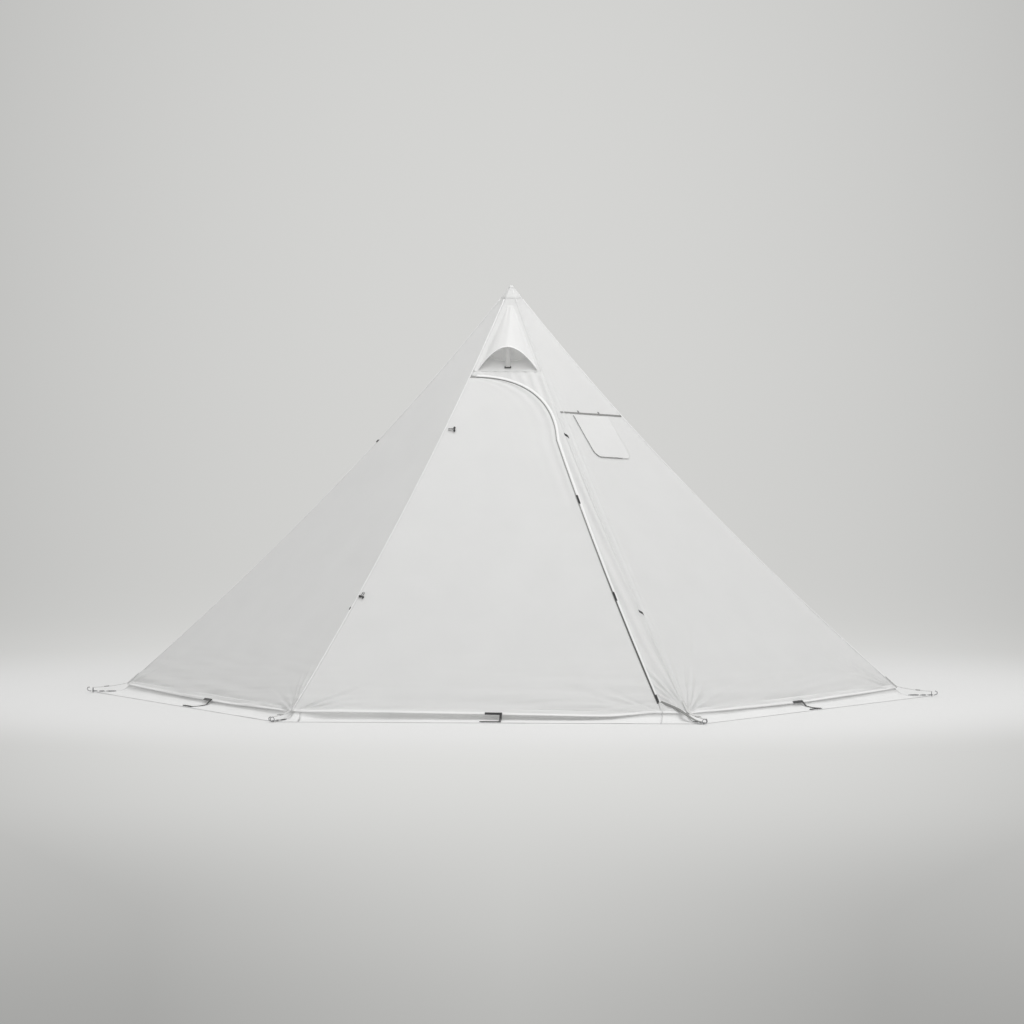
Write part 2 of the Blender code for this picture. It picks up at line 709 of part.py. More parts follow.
def make_door():
    left = ridge_edge([height for across, height in DOOR_EDGE], -1)
    door = sheet("door_panel", "canopy", 6, len(DOOR_EDGE) - 1, patch(FRONT, left, DOOR_EDGE), CLOTH)
    fuse(door, hem_binding("door_panel", FRONT, BINDING_END - half_width(HEM_HEIGHT),
                           DOOR_EDGE[0][0] - BINDING_INSET))
    for number, (height, inset) in enumerate(zip(TOGGLE_HEIGHTS, TOGGLE_INSETS)):
        across = inset - half_width(height)
        rise = TOGGLE_TAB_LENGTH / 2 / slope_length(height)
        place = box_patch(FRONT, across - TOGGLE_TAB_WIDTH / 2, across + TOGGLE_TAB_WIDTH / 2,
                          height - rise, height + rise, WEBBING)
        fuse(door, sheet("toggle_tab_guide_%d" % number, "black_webbing", 1, 1, place,
                         WEBBING + 2 * FUSE))

    foot = (passing(ZIP, CHAIN_FOOT_HEIGHT), CHAIN_FOOT_HEIGHT)
    line = [foot] + [point for point in ZIP if point[1] > CHAIN_FOOT_HEIGHT + 0.01]
    rows = len(line) - 1
    inner = patch(FRONT, beside(line, SEAT - ZIP_HALF), beside(line, -SEAT), CHAIN_PROUD)
    outer = patch(FRONT, beside(line, SEAT), beside(line, ZIP_HALF - SEAT), CHAIN_PROUD)
    door_chain = sheet("zip_chain_door", "zip", 1, rows, inner, CHAIN_THICKNESS)
    frame_chain = sheet("zip_chain_frame", "zip", 1, rows, outer, CHAIN_THICKNESS)
    for number, height in enumerate(ZIP_TAB_HEIGHTS):
        start = passing(ZIP, height) + ZIP_HALF / 2
        rise = ZIP_TAB_WIDTH / 2 / slope_length(height)
        place = box_patch(FRONT, start, start + ZIP_TAB_LENGTH, height - rise, height + rise,
                          WEBBING + SEAT)
        fuse(frame_chain, sheet("zip_tab_guide_%d" % number, "black_webbing", 1, 1, place, WEBBING))

    anchor = hem_anchor("hem_anchor_door", FRONT)
    start = DOOR_SKIRT_START - half_width(HEM_HEIGHT)
    skirt = make_skirt("skirt_front_door", FRONT, start, DOOR_EDGE[0][0], DOOR_SKIRT_LIFT)
    return door, door_chain, anchor, skirt


def make_skirt(node, side, left=None, right=None, lift=0.0):
    """Snow skirt: sewn inside the hem, down to the floor and out over it.

    left and right are the places across where it ends; without one it is mitred at the ridge.
    """
    inside = -SKIRT_SEAM_RISE * slant(HEM_HEIGHT) - (CLOTH + 2 * SEAT) * slope_length(HEM_HEIGHT)
    section = [(SKIRT_WIDTH, SKIRT_CLOTH), (0.070, SKIRT_CLOTH), (SKIRT_LAND, SKIRT_CLOTH),
               (0.018, 0.0060), (0.006, 0.0140), (-0.004, 0.0270),
               (inside, HEM_HEIGHT + SKIRT_SEAM_RISE)]

    def place(u, v):
        reach, height = section[round(v * (len(section) - 1))]
        distance = apothem(HEM_HEIGHT) + reach
        mitre = distance * math.tan(HALF_SECTOR) - RIDGE_TRIM
        across = between(-mitre if left is None else left, mitre if right is None else right, u)
        return outwards(side) * distance + sideways(side) * across + upright(height + lift)
    return sheet(node, "canopy", SKIRT_COLUMNS, len(section) - 1, place, SKIRT_CLOTH)


def corner_patch():
    """The front left skirt's lap round the corner, up to where the door's skirt starts."""
    corner = on_face(FRONT, -half_width(HEM_HEIGHT), HEM_HEIGHT)
    end = DOOR_SKIRT_START - 2 * SEAT
    mitre = math.tan(HALF_SECTOR)
    overlap = 0.006
    outline = [(end, SKIRT_LAND), (end, SKIRT_WIDTH), (-SKIRT_WIDTH * mitre - overlap, SKIRT_WIDTH),
               (-SKIRT_LAND * mitre - overlap, SKIRT_LAND)]
    points = [Vector((corner.x + x, corner.y - y, SKIRT_CLOTH / 2)) for x, y in outline]
    return prism("corner_patch_guide", points, upright(SKIRT_CLOTH - SEAT))


def make_skirts():
    for name, side in PLAIN_SIDES.items():
        skirt = make_skirt("skirt_" + name, side)
        if side == FRONT_LEFT:
            fuse(skirt, corner_patch())
    make_skirt("skirt_front_frame", FRONT, left=FRAME_EDGE[0][0])


def hem_anchor(node, side):
    """Webbing tab sewn over a hem. A strap runs from its right end to a stake loop on the skirt."""
    low = HEM_HEIGHT - 0.002
    high = low + HEM_TAB_LENGTH / slope_length(HEM_HEIGHT)
    left_end, right_end = HEM_TAB_ACROSS - HEM_TAB_WIDTH / 2, HEM_TAB_ACROSS + HEM_TAB_WIDTH / 2
    out = ON_TAPE + WEBBING
    tab = sheet(node, "black_webbing", 2, 1, box_patch(side, left_end, right_end, low, high, out), WEBBING)

    place = right_end - HEM_STRAP_WIDTH / 2
    lowest = SKIRT_CLOTH + DOOR_SKIRT_LIFT + SEAT
    base = outwards(side) * apothem(HEM_HEIGHT) + sideways(side) * place
    sewn = [on_face(side, place, height, out + WEBBING - FUSE) for height in (high - 0.002, low + 0.003)]
    bend = [(0.0230, 0.0190), (0.0420, 0.0100), (0.0640, lowest + 0.0035), (0.0850, lowest + 0.0026),
            (SKIRT_WIDTH - 0.006, lowest + 0.0022)]
    free = [base + outwards(side) * reach + upright(height) for reach, height in bend]
    left = -sideways(side)
    down = strap(node + "_strap_guide", "black_webbing", smooth_route(sewn + free, 2), left, left,
                 HEM_STRAP_WIDTH)
    middle = (base + outwards(side) * (SKIRT_WIDTH - HEM_LOOP_WIDTH) + left * (HEM_LOOP_LENGTH / 2)
              + upright(lowest + HEM_LOOP_CORD / 2))
    oval = [middle + left * (math.cos(turn) * HEM_LOOP_LENGTH / 2)
            + outwards(side) * (math.sin(turn) * HEM_LOOP_WIDTH / 2)
            for turn in even(0, 2 * math.pi * 13 / 14, 14)]
    return fuse(tab, down, wire(node + "_loop_guide", "black_webbing", oval, HEM_LOOP_CORD, True))


def slide_line():
    """Start and end of the slider's straight run beside the zip."""
    line = beside(ZIP, SEAT + SLIDER_WIDTH / 2)
    top = SLIDER_HEIGHT + SLIDER_TRAVEL / slope_length(SLIDER_HEIGHT)
    out = CHAIN_PROUD + 2 * SEAT + SLIDER_THICKNESS / 2
    return [on_face(FRONT, passing(line, height), height, out) for height in (SLIDER_HEIGHT, top)]


def make_slider():
    """Zip slider on the frame's half of the zip, and its pull."""
    spot, end = slide_line()
    travel = (end - spot).normalized()
    width = travel.cross(face_normal(FRONT, SLIDER_HEIGHT)).normalized()
    normal = width.cross(travel)
    axes = (width, travel, normal)
    slider = block("zip_slider", "black_plastic", spot,
                   (SLIDER_WIDTH, SLIDER_LENGTH, SLIDER_THICKNESS), axes, 0.0012)
    fuse(slider, block("crown_guide", "black_plastic", spot + normal * (SLIDER_THICKNESS / 2),
                       (CROWN_WIDTH, CROWN_LENGTH, CROWN_HEIGHT * 2), axes, 0.0008))

    hinge = spot + normal * (SLIDER_THICKNESS / 2 + CROWN_HEIGHT)
    hinge -= travel * (CROWN_LENGTH / 2 + 2 * SEAT)
    widths = (0.7, 1.0, 1.0, 0.6)

    def place(u, v):
        row = round(v * 3)
        share = 1 - row / 3
        spine = hinge - travel * (PULL_LENGTH * share) - normal * (PULL_LEAN * share)
        return spine + width * (PULL_WIDTH * widths[row] * (u - 0.5)) + normal * (PULL_THICKNESS / 2)
    return slider, sheet("zip_pull", "black_plastic", 1, 3, place, PULL_THICKNESS), spot, hinge


def make_end_strap():
    """Strap from the zip's foot to the front right stake ring."""
    corner = outwards(CORNERS["front_right"])
    right = sideways(CORNERS["front_right"])
    lip = half_width(HEM_HEIGHT)
    out = ON_TAPE + SEAT + WEBBING
    start = passing(ZIP, END_STRAP_HEIGHT) + END_STRAP_SPACE
    ring_side = PEG_RING_PLACE - PEG_RING_WIRE / 2 - SEAT
    points = [on_face(FRONT, start, END_STRAP_HEIGHT, WEBBING + SEAT),
              on_face(FRONT, lip - 0.062, 0.056, out), on_face(FRONT, lip - 0.036, 0.042, out + 0.005),
              corner * 1.655 - right * 0.0215 + upright(0.0250),
              corner * 1.705 - right * 0.0190 + upright(0.0145),
              corner * ring_side - right * 0.0130 + upright(0.0110)]
    first = (points[1] - points[0]).cross(face_normal(FRONT, END_STRAP_HEIGHT)).normalized()
    strap("zip_end_strap", "grey_webbing", smooth_route(points, 3), first, -right, END_STRAP_WIDTH, 3)


# Ridges, guy points and corners

def make_ridges():
    """Ridge tapes and the guy tabs sewn over them."""
    for name, corner in CORNERS.items():
        node = "ridge_seam_" + name
        tape = ridge_tape(node, corner)
        for number, height in enumerate(GUY_TABS[name]):
            fuse(tape, guy_tab("%s_guy_guide_%d" % (node, number), corner, height))


def ridge_tape(node, corner):
    """Tape over a ridge; at the door's hinge it covers the left face's edge only."""
    low, high = HEM_HEIGHT + BINDING_LIFT, APEX_HEIGHT - TAPE_TOP_DROP
    heights = [low] + [height for height in BREAKS if low < height < high - 0.01] + [high]
    last = len(heights) - 1
    asides = (-TAPE_WING, 0, TAPE_WING)
    if corner == CORNERS["front_left"]:
        asides = (-TAPE_WING, -RIDGE_TRIM)
    columns = len(asides) - 1

    def place(u, v):
        return beside_ridge(corner, asides[round(u * columns)], heights[round(v * last)], ON_TAPE)
    return sheet(node, "tape", columns, last, place, TAPE)


def guy_tab(node, corner, height):
    """A tab sewn over a ridge. At the door's hinge it lies just left of the ridge."""
    half = GUY_TAB_WIDTH / 2
    middle = 0
    if corner == CORNERS["front_left"]:
        middle = -half - 2 * RIDGE_TRIM
    asides = (middle - half, middle, middle + half)
    out = TAPE + WEBBING
    rise = GUY_TAB_LENGTH / 2 / slope_length(height)

    def place(u, v):
        return beside_ridge(corner, asides[round(2 * u)], between(height - rise, height + rise, v), out)
    return sheet(node, "black_webbing", 2, 1, place, WEBBING + SEAT)


def make_corners():
    """Straps from the hem's corners to rings on the floor, and a hook peg through each ring."""
    for name, corner in CORNERS.items():
        corner_anchor("corner_anchor_" + name, corner)
        peg("peg_" + name, corner)


def corner_anchor(node, corner):
    """A strap sewn down the foot of a ridge, with its buckle and the ring at its end."""
    out = outwards(corner)
    right = sideways(corner)
    hub = PEG_RING_RADIUS + PEG_RING_WIRE / 2 + SEAT
    aside = 0
    first = right
    if corner == CORNERS["front_left"]:
        aside = -CORNER_STRAP_WIDTH / 2 - 2 * RIDGE_TRIM
        first = sideways(FRONT_LEFT)
    lift = ON_TAPE + SEAT + WEBBING
    sewn = [beside_ridge(corner, aside, HEM_HEIGHT + CORNER_STRAP_REACH, lift),
            beside_ridge(corner, aside, HEM_HEIGHT + 0.015, lift),
            beside_ridge(corner, aside, HEM_HEIGHT + 0.002, lift + 0.0015)]
    free = [out * reach + upright(height) for reach, height in
            ((PEG_RING_PLACE - BUCKLE_START, 0.0285), (PEG_RING_PLACE - BUCKLE_END, 0.0245),
             (PEG_RING_PLACE + 0.002, hub + PEG_RING_RADIUS + WEBBING / 2))]
    anchor = strap(node, "grey_webbing", smooth_route(sewn + free, 3), -first, -right,
                   CORNER_STRAP_WIDTH, 6)
    along = (free[1] - free[0]).normalized()
    normal = along.cross(right).normalized()
    middle = (free[0] + free[1]) / 2 + normal * (BUCKLE_THICKNESS / 2 - WEBBING + FUSE)
    buckle = block(node + "_buckle_guide", "black_plastic", middle,
                   (BUCKLE_WIDTH, BUCKLE_LENGTH, BUCKLE_THICKNESS), (right, along, normal), 0.0006)
    ring = wire(node + "_ring_guide", "aluminium",
                circle(out * PEG_RING_PLACE + upright(hub), right, upright(1), PEG_RING_RADIUS, 12),
                PEG_RING_WIRE, True)
    fuse(anchor, buckle, ring)


def peg(node, corner):
    """A hook peg lying in its ring."""
    shank = PEG_RING_WIRE + PEG_WIRE / 2 + 2 * SEAT
    tip = PEG_RING_PLACE + PEG_HOOK
    top = shank + PEG_HOOK_RISE
    hook = [(PEG_RING_PLACE - PEG_SHANK, shank), (PEG_RING_PLACE - PEG_SHANK / 2, shank),
            (PEG_RING_PLACE + 0.008, shank), (tip - 0.004, shank + 0.002), (tip, shank + 0.008),
            (tip - 0.003, top - 0.002), (tip - 0.010, top)]
    route = smooth_route([outwards(corner) * reach + upright(height) for reach, height in hook], 2)
    wire(node, "aluminium", route, PEG_WIRE)


# Apex

def ring_shell(node, kind, rings, thickness, top=None):
    """A shell over a stack of rings, open below, closed above by a point if one is given."""
    mesh = bpy.data.meshes.new(node)
    shell = bmesh.new()
    rows = [[shell.verts.new(point) for point in ring] for ring in rings]
    count = len(rows[0])
    for lower, upper in zip(rows, rows[1:]):
        for index in range(count):
            after = (index + 1) % count
            shell.faces.new((lower[index], lower[after], upper[after], upper[index]))
    if top is not None:
        peak = shell.verts.new(top)
        for index in range(count):
            shell.faces.new((rows[-1][index], rows[-1][(index + 1) % count], peak))
    shell.to_mesh(mesh)
    shell.free()
    piece = add_object(node, mesh, kind)
    thicken(piece, thickness)
    return piece


def hexagon(height, out):
    return [on_ridge(corner, height, out) for corner in CORNERS.values()]


def make_apex():
    """Rounded cap over the peak, and the pocket under it that takes the pole's nose."""
    rings = [hexagon(height, CAP_CLOTH + SEAT) for height in even(APEX_HEIGHT - CAP_HEIGHT, WALL_TOP, 2)]
    radius = rings[-1][0].xy.length
    for share, rise in ((0.80, 0.55), (0.45, 0.89)):
        rings.append([outwards(corner) * radius * share + upright(WALL_TOP + CAP_CROWN * rise)
                      for corner in CORNERS.values()])
    ring_shell("apex_cap", "canopy", rings, CAP_CLOTH, upright(WALL_TOP + CAP_CROWN))

    rings = [hexagon(height, -CLOTH - 2 * SEAT) for height in even(WALL_TOP - POCKET_HEIGHT, WALL_TOP, 2)]
    ring_shell("apex_pocket", "heat_cloth", rings, POCKET_CLOTH)


def nose_height():
    """Where the pocket's inside is just wide enough for the widest part of the pole's nose."""
    depth = CLOTH + 2 * SEAT + POCKET_CLOTH
    return height_at_apothem(NOSE_RADIUS + SEAT + depth * slope_length(WALL_TOP))


# Vent

def hood_place(s, v, inside=0.0):
    """The hood's outer side: s from -1 to 1 across it, v from 0 at the lip to 1 at the peak."""
    half = between(HOOD_HALF_WIDTH, HOOD_PEAK_HALF_WIDTH, v)
    lip = HOOD_SILL_HEIGHT + HOOD_ARCH_RISE * (1 - s * s)
    arch = 1 - abs(s) ** 1.7
    out = HOOD_CLOTH + SEAT + HOOD_LIFT * arch * (1 - v) ** 1.15
    return on_face(FRONT, s * half, between(lip, HOOD_PEAK_HEIGHT, v), out - inside)


def make_vent():
    """Hood, net and the strut that props the hood open."""
    sheet("vent_hood", "canopy", 12, 8, lambda u, v: hood_place(2 * u - 1, v), HOOD_CLOTH)

    low = VENT_FOOT_HEIGHT - VENT_FOOT_DIP - MESH_MARGIN
    high = VENT_FOOT_HEIGHT + VENT_ARCH_RISE + MESH_MARGIN
    heights = [low] + [height for height in BREAKS if low + 0.005 < height < high - 0.005] + [high]

    def net(u, v):
        height = heights[round(v * (len(heights) - 1))]
        half = min(VENT_HALF_WIDTH + MESH_MARGIN, half_width(height) - MESH_MARGIN)
        return on_face(FRONT, half * (2 * u - 1), height, -CLOTH - 2 * SEAT)
    sheet("vent_mesh", "net", 6, len(heights) - 1, net, MESH_THICKNESS)

    foot_height = HOOD_SILL_HEIGHT + STRUT_FOOT_RISE
    normal = face_normal(FRONT, foot_height)
    base = on_face(FRONT, 0, foot_height, PATCH_THICKNESS + SEAT)
    top = hood_place(0, 0, HOOD_CLOTH) - face_normal(FRONT, HOOD_SILL_HEIGHT) * STRUT_TOP_GAP
    foot = base + normal * (PAD_THICKNESS - FUSE)
    right = sideways(FRONT)
    facing = right.cross((top - foot).normalized())

    def bar(u, v):
        width = between(STRUT_FOOT_WIDTH, STRUT_TOP_WIDTH, v)
        return between(foot, top, v) + right * (width * (u - 0.5)) + facing * (STRUT_THICKNESS / 2)
    strut = sheet("vent_strut", "grey_webbing", 1, 3, bar, STRUT_THICKNESS)
    pad = block("strut_pad_guide", "black_webbing", base + normal * (PAD_THICKNESS / 2),
                (PAD_WIDTH, PAD_DEPTH, PAD_THICKNESS), (right, up_slope(FRONT, foot_height), normal), 0.0006)
    return fuse(strut, pad), top


# Stove jack

def stove_spot(along, up, out):
    """A point by the stove jack: metres along the tilted seam and up the cloth from the flap's hinge."""
    tilt = math.radians(STOVE_TILT)
    across = STOVE_ACROSS + along * math.cos(tilt) + up * math.sin(tilt)
    rise = -along * math.sin(tilt) + up * math.cos(tilt)
    return on_face(FRONT_RIGHT, across, STOVE_HEIGHT + rise / slope_length(STOVE_HEIGHT), out)


def stove_patch(left, right, low, high, out):
    return lambda u, v: stove_spot(between(left, right, u), between(low, high, v), out)


def make_stove_jack():
    """Window in the front right face, heat-proof panel with a pipe hole behind it, and its flap."""
    normal = face_normal(FRONT_RIGHT, STOVE_HEIGHT)
    top = -WINDOW_DROP
    foot = top - WINDOW_LENGTH
    half = WINDOW_WIDTH / 2
    centre = stove_spot(0, (top + foot) / 2, 0)
    window = [stove_spot(half, foot, 0), stove_spot(half, top, 0), stove_spot(-half, top, 0),
              stove_spot(-half, foot, 0)]
    cut(bpy.data.objects["wall_front_right"],
        prism("window_cutter", flattened(window, centre, normal), normal * 0.05))
    place = stove_patch(-half - JACK_MARGIN, half + JACK_MARGIN, foot - JACK_MARGIN, top + JACK_MARGIN,
                        -CLOTH - 2 * SEAT)
    jack = sheet("stove_jack", "heat_cloth", 4, 4, place, JACK_THICKNESS)
    right = (window[1] - window[2]).normalized()
    hole = circle(centre, right, normal.cross(right), JACK_HOLE_RADIUS, 20)
    cut(jack, prism("jack_cutter", hole, normal * 0.04))

    tape = sheet("stove_seam_tape", "grey_webbing", 8, 1,
                 stove_patch(-STOVE_SEAM_LEFT, STOVE_SEAM_RIGHT, STOVE_SEAM_RISE,
                             STOVE_SEAM_RISE + STOVE_SEAM_TAPE, ON_TAPE), TAPE)
    for number, side in enumerate((-1, 1)):
        start = side * TIE_TAB_SPREAD - TIE_TAB_WIDTH / 2
        low = STOVE_SEAM_RISE + 0.001
        place = stove_patch(start, start + TIE_TAB_WIDTH, low, low + TIE_TAB_LENGTH, ON_TAPE + TAPE - FUSE)
        fuse(tape, sheet("tie_tab_guide_%d" % number, "grey_webbing", 1, 1, place, TAPE))
    return stove_flap()


def stove_flap():
    straight = FLAP_LENGTH - FLAP_CORNER
    drops = even(0, straight, 3) + [straight + FLAP_CORNER * math.sin(math.radians(angle))
                                    for angle in (30, 60, 85)]
    lift = FLAP_LIFT + FLAP_CLOTH

    def place(u, v):
        down = drops[len(drops) - 1 - round(v * (len(drops) - 1))]
        into = max(0, down - straight)
        round_off = FLAP_CORNER - math.sqrt(FLAP_CORNER ** 2 - into ** 2)
        return stove_spot((FLAP_WIDTH / 2 - round_off) * (2 * u - 1), -down, lift)
    flap = sheet("stove_flap", "canopy", 4, len(drops) - 1, place, FLAP_CLOTH)
    return flap, (place(0, 1) + place(1, 1)) / 2


# Toggles

def make_toggle(name, height, inset):
    """A toggle on a short loop by the front left ridge, which holds the rolled door."""
    normal = face_normal(FRONT, height)
    aim = sideways(FRONT)
    if name == "lower":
        below = height - TOGGLE_LOOP
        aim = (on_face(FRONT, -half_width(below), below)
               - on_face(FRONT, -half_width(height), height)).normalized()
    root = on_face(FRONT, inset - half_width(height), height, WEBBING + SEAT + TOGGLE_LOOP_CORD / 2)
    side = aim.cross(normal)
    width = side * TOGGLE_LOOP_HALF_WIDTH
    foot = width * TOGGLE_LOOP_PINCH
    halfway = root + aim * (TOGGLE_LOOP / 2) + normal * (TOGGLE_RISE / 2)
    end = root + aim * TOGGLE_LOOP + normal * TOGGLE_RISE
    loop = wire("toggle_%s_loop_guide" % name, "black_webbing",
                smooth_route([root + foot, halfway + width, end, halfway - width, root - foot], 3),
                TOGGLE_LOOP_CORD)
    half = ((0.6, 0.5), (1.0, 0.42), (1.0, 0.2), (0.62, 0.1))
    shape = [(0.0, 0.5), *half, *[(radius, -share) for radius, share in reversed(half)], (0.0, -0.5)]
    barrel = turned("toggle_" + name, "black_plastic",
                    [(radius * TOGGLE_RADIUS, share * TOGGLE_LENGTH) for radius, share in shape], steps=10)
    barrel.location = end
    barrel.rotation_euler = upright(1).rotation_difference(side).to_euler()
    return fuse(barrel, loop), root


# Centre pole

def tube(node, outer, inner, low, high):
    return turned(node, "aluminium", [(outer, high), (outer, low), (inner, low), (inner, high)], True)


def make_pole():
    """Foot, two telescoping tubes and the tip."""
    bore = LOWER_TUBE_RADIUS - TUBE_WALL
    upper = bore - TUBE_CLEARANCE
    upper_bore = upper - TUBE_WALL
    cup = LOWER_TUBE_RADIUS + SEAT
    turned("pole_foot", "rubber", [(0, FOOT_FLOOR), (cup, FOOT_FLOOR), (cup, FOOT_HEIGHT),
                                   (cup + FOOT_WALL, FOOT_HEIGHT), (FOOT_RADIUS, FOOT_FLOOR),
                                   (FOOT_RADIUS, 0), (0, 0)])
    tube("pole_lower_tube", LOWER_TUBE_RADIUS, bore, FOOT_FLOOR + SEAT, LOWER_TUBE_TOP)
    inner = tube("pole_upper_tube", upper, upper_bore, UPPER_TUBE_FOOT, UPPER_TUBE_TOP)
    stem = upper_bore - SEAT
    seat = UPPER_TUBE_TOP + SEAT
    nose = nose_height()
    tip = turned("pole_tip", "rubber", [(0, nose + NOSE_CHAMFER), (NOSE_RADIUS - NOSE_CHAMFER,
                                                                   nose + NOSE_CHAMFER),
                                        (NOSE_RADIUS, nose),
                                        (TIP_COLLAR_RADIUS, seat + TIP_COLLAR_HEIGHT),
                                        (TIP_COLLAR_RADIUS, seat), (stem, seat),
                                        (stem, seat - TIP_STEM_LENGTH), (0, seat - TIP_STEM_LENGTH)])
    return inner, tip


def make_clamp():
    """Collar with two ears and a bolt on the lower tube, and the lever that closes it."""
    collar_bore = LOWER_TUBE_RADIUS + SEAT
    lip_bore = LOWER_TUBE_RADIUS - TUBE_WALL
    low = LOWER_TUBE_TOP - CLAMP_HEIGHT
    high = LOWER_TUBE_TOP + CLAMP_LIP
    step = LOWER_TUBE_TOP + SEAT
    middle = (low + high) / 2
    clamp = turned("pole_clamp", "black_plastic", [(CLAMP_RADIUS, high), (CLAMP_RADIUS, low),
                                                   (collar_bore, low), (collar_bore, step),
                                                   (lip_bore, step), (lip_bore, high)], True)
    root = CLAMP_RADIUS - 0.002
    fuse(clamp, block("ears_guide", "black_plastic", ((EAR_REACH + root) / 2, 0, middle),
                      (EAR_REACH - root, 2 * EAR_HALF_WIDTH, EAR_HEIGHT)))
    slit_start = LOWER_TUBE_RADIUS / 2
    cut(clamp, block("slit_guide", "black_plastic", (slit_start + EAR_REACH / 2, 0, middle),
                     (EAR_REACH, CLAMP_SLIT, 2 * (high - low))),
        rod("bore_guide", (BOLT_PLACE, EAR_HALF_WIDTH, middle), BOLT_RADIUS + SEAT, 2 * EAR_HALF_WIDTH))
    fuse(clamp, rod("bolt_guide", (BOLT_PLACE, -BOLT_HEAD / 2, middle), BOLT_RADIUS,
                    2 * EAR_HALF_WIDTH + BOLT_HEAD),
         rod("head_guide", (BOLT_PLACE, FUSE - EAR_HALF_WIDTH - BOLT_HEAD / 2, middle),
             BOLT_HEAD_RADIUS, BOLT_HEAD))

    hub = Vector((BOLT_PLACE, EAR_HALF_WIDTH + LEVER_HUB_RADIUS + SEAT, middle))
    half = EAR_HEIGHT / 2 - 0.001
    lever = turned("pole_lever", "black_plastic", [(0, half), (LEVER_HUB_RADIUS, half),
                                                   (LEVER_HUB_RADIUS, -half), (0, -half)], steps=16)
    lever.location = hub
    start = math.degrees(math.atan2(hub.y, hub.x))

    def arm(u, v):
        reach = between(hub.xy.length + 0.001, LEVER_ARM_RADIUS, min(1, u * 3))
        spot = outwards(between(start, LEVER_END_ANGLE, u)) * reach
        spot.z = middle + between(0.001 - half, half - 0.001, v)
        return spot
    fuse(lever, sheet("lever_arm_guide", "black_plastic", 10, 1, arm, LEVER_THICKNESS))
    return lever, hub


def build():
    make_walls()
    make_skirts()
    make_ridges()
    make_apex()
    make_end_strap()
    make_corners()
    for name, side in PLAIN_SIDES.items():
        hem_anchor("hem_anchor_" + name, side)

    door_hinge = pivot("door_hinge", on_ridge(CORNERS["front_left"], HEM_HEIGHT))
    carry(door_hinge, *make_door())
    for name, height, inset in zip(("upper", "lower"), TOGGLE_HEIGHTS, TOGGLE_INSETS):
        toggle, root = make_toggle(name, height, inset)
        carry(pivot("toggle_%s_hinge" % name, root, door_hinge), toggle)

    slider, pull, spot, pull_place = make_slider()
    slide = pivot("zip_slide", spot)
    carry(slide, slider)
    carry(pivot("zip_pull_hinge", pull_place, slide), pull)

    strut, strut_top = make_vent()
    carry(pivot("strut_hinge", strut_top), strut)
    flap, flap_place = make_stove_jack()
    carry(pivot("stove_flap_hinge", flap_place), flap)

    carry(pivot("pole_slide", upright(LOWER_TUBE_TOP)), *make_pole())
    lever, lever_place = make_clamp()
    carry(pivot("pole_lever_hinge", lever_place), lever)


build()
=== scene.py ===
"""Looks for the tipi tent: wrinkled cloth, webbing, zip, net, pole and pegs in a plain pale studio."""
import random
from math import atan2, ceil, cos, exp, hypot, pi, radians, sin, sqrt, tan

import bmesh
import bpy
from mathutils import Matrix, Vector, noise


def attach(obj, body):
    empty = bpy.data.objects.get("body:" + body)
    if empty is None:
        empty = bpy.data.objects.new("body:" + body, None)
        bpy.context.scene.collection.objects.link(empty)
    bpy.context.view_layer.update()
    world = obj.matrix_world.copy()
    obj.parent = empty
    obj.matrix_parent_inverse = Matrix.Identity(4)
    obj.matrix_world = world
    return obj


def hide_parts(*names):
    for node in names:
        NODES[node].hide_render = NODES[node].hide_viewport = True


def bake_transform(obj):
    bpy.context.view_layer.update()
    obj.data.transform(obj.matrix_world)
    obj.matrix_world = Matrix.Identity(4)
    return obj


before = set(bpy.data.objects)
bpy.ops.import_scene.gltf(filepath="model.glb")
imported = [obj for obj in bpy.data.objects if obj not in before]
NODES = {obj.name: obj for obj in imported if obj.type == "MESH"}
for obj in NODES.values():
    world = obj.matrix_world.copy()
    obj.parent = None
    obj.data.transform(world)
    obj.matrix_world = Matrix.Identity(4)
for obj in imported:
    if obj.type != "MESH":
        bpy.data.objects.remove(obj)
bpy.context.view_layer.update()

# Canopy shape, as the solids have it
CORNER_RADIUS = 1.600
APEX_HEIGHT = 1.700
HEM_HEIGHT = 0.035
RIDGE_SAG = 0.072
FACE_BOW = 0.006
WALL_TOP = 1.680
WALL_ROWS = 12
CLOTH = 0.0009              # the cloth is thinner here than its solid, flush with its outer side
DOOR_TOP_HEIGHT = 1.330
DOOR_ARCH_RISE = 0.300
ARCH_POWER = 2.4
STRIP_TOP_WIDTH = 0.0486
STRIP_BOTTOM_WIDTH = 0.106
FRONT_SEAM_HEIGHT = 1.352
STOVE_TILT = 6.0
STOVE_ACROSS = 0.005
STOVE_HEIGHT = 1.167
WINDOW_WIDTH = 0.190
WINDOW_LENGTH = 0.165
WINDOW_DROP = 0.024
HOOD_PEAK_HEIGHT = 1.615
HOOD_PEAK_HALF_WIDTH = 0.012
HOOD_HALF_WIDTH = 0.122
HOOD_SILL_HEIGHT = 1.357
HOOD_ARCH_RISE = 0.055
HOOD_LIFT = 0.070
FRONT, FRONT_RIGHT = -90, -30       # directions of faces, in degrees
PLAIN_SIDES = {"front_right": FRONT_RIGHT, "back_right": 30, "back": 90, "back_left": 150, "front_left": 210}
CORNERS = {"front_left": -120, "front_right": -60, "right": 0, "back_right": 60, "back_left": 120,
           "left": 180}
DROP_RANGE = APEX_HEIGHT - HEM_HEIGHT
BAND = (WALL_TOP - HEM_HEIGHT) / WALL_ROWS


# Shape functions

def clamp(value):
    return min(max(value, 0.0), 1.0)


def between(first, second, share):
    return first + (second - first) * share


def mixed(first, second, share):
    """A point between two points."""
    return [between(a, b, share) for a, b in zip(first, second)]


def smooth(value):
    value = clamp(value)
    return value * value * (3 - 2 * value)


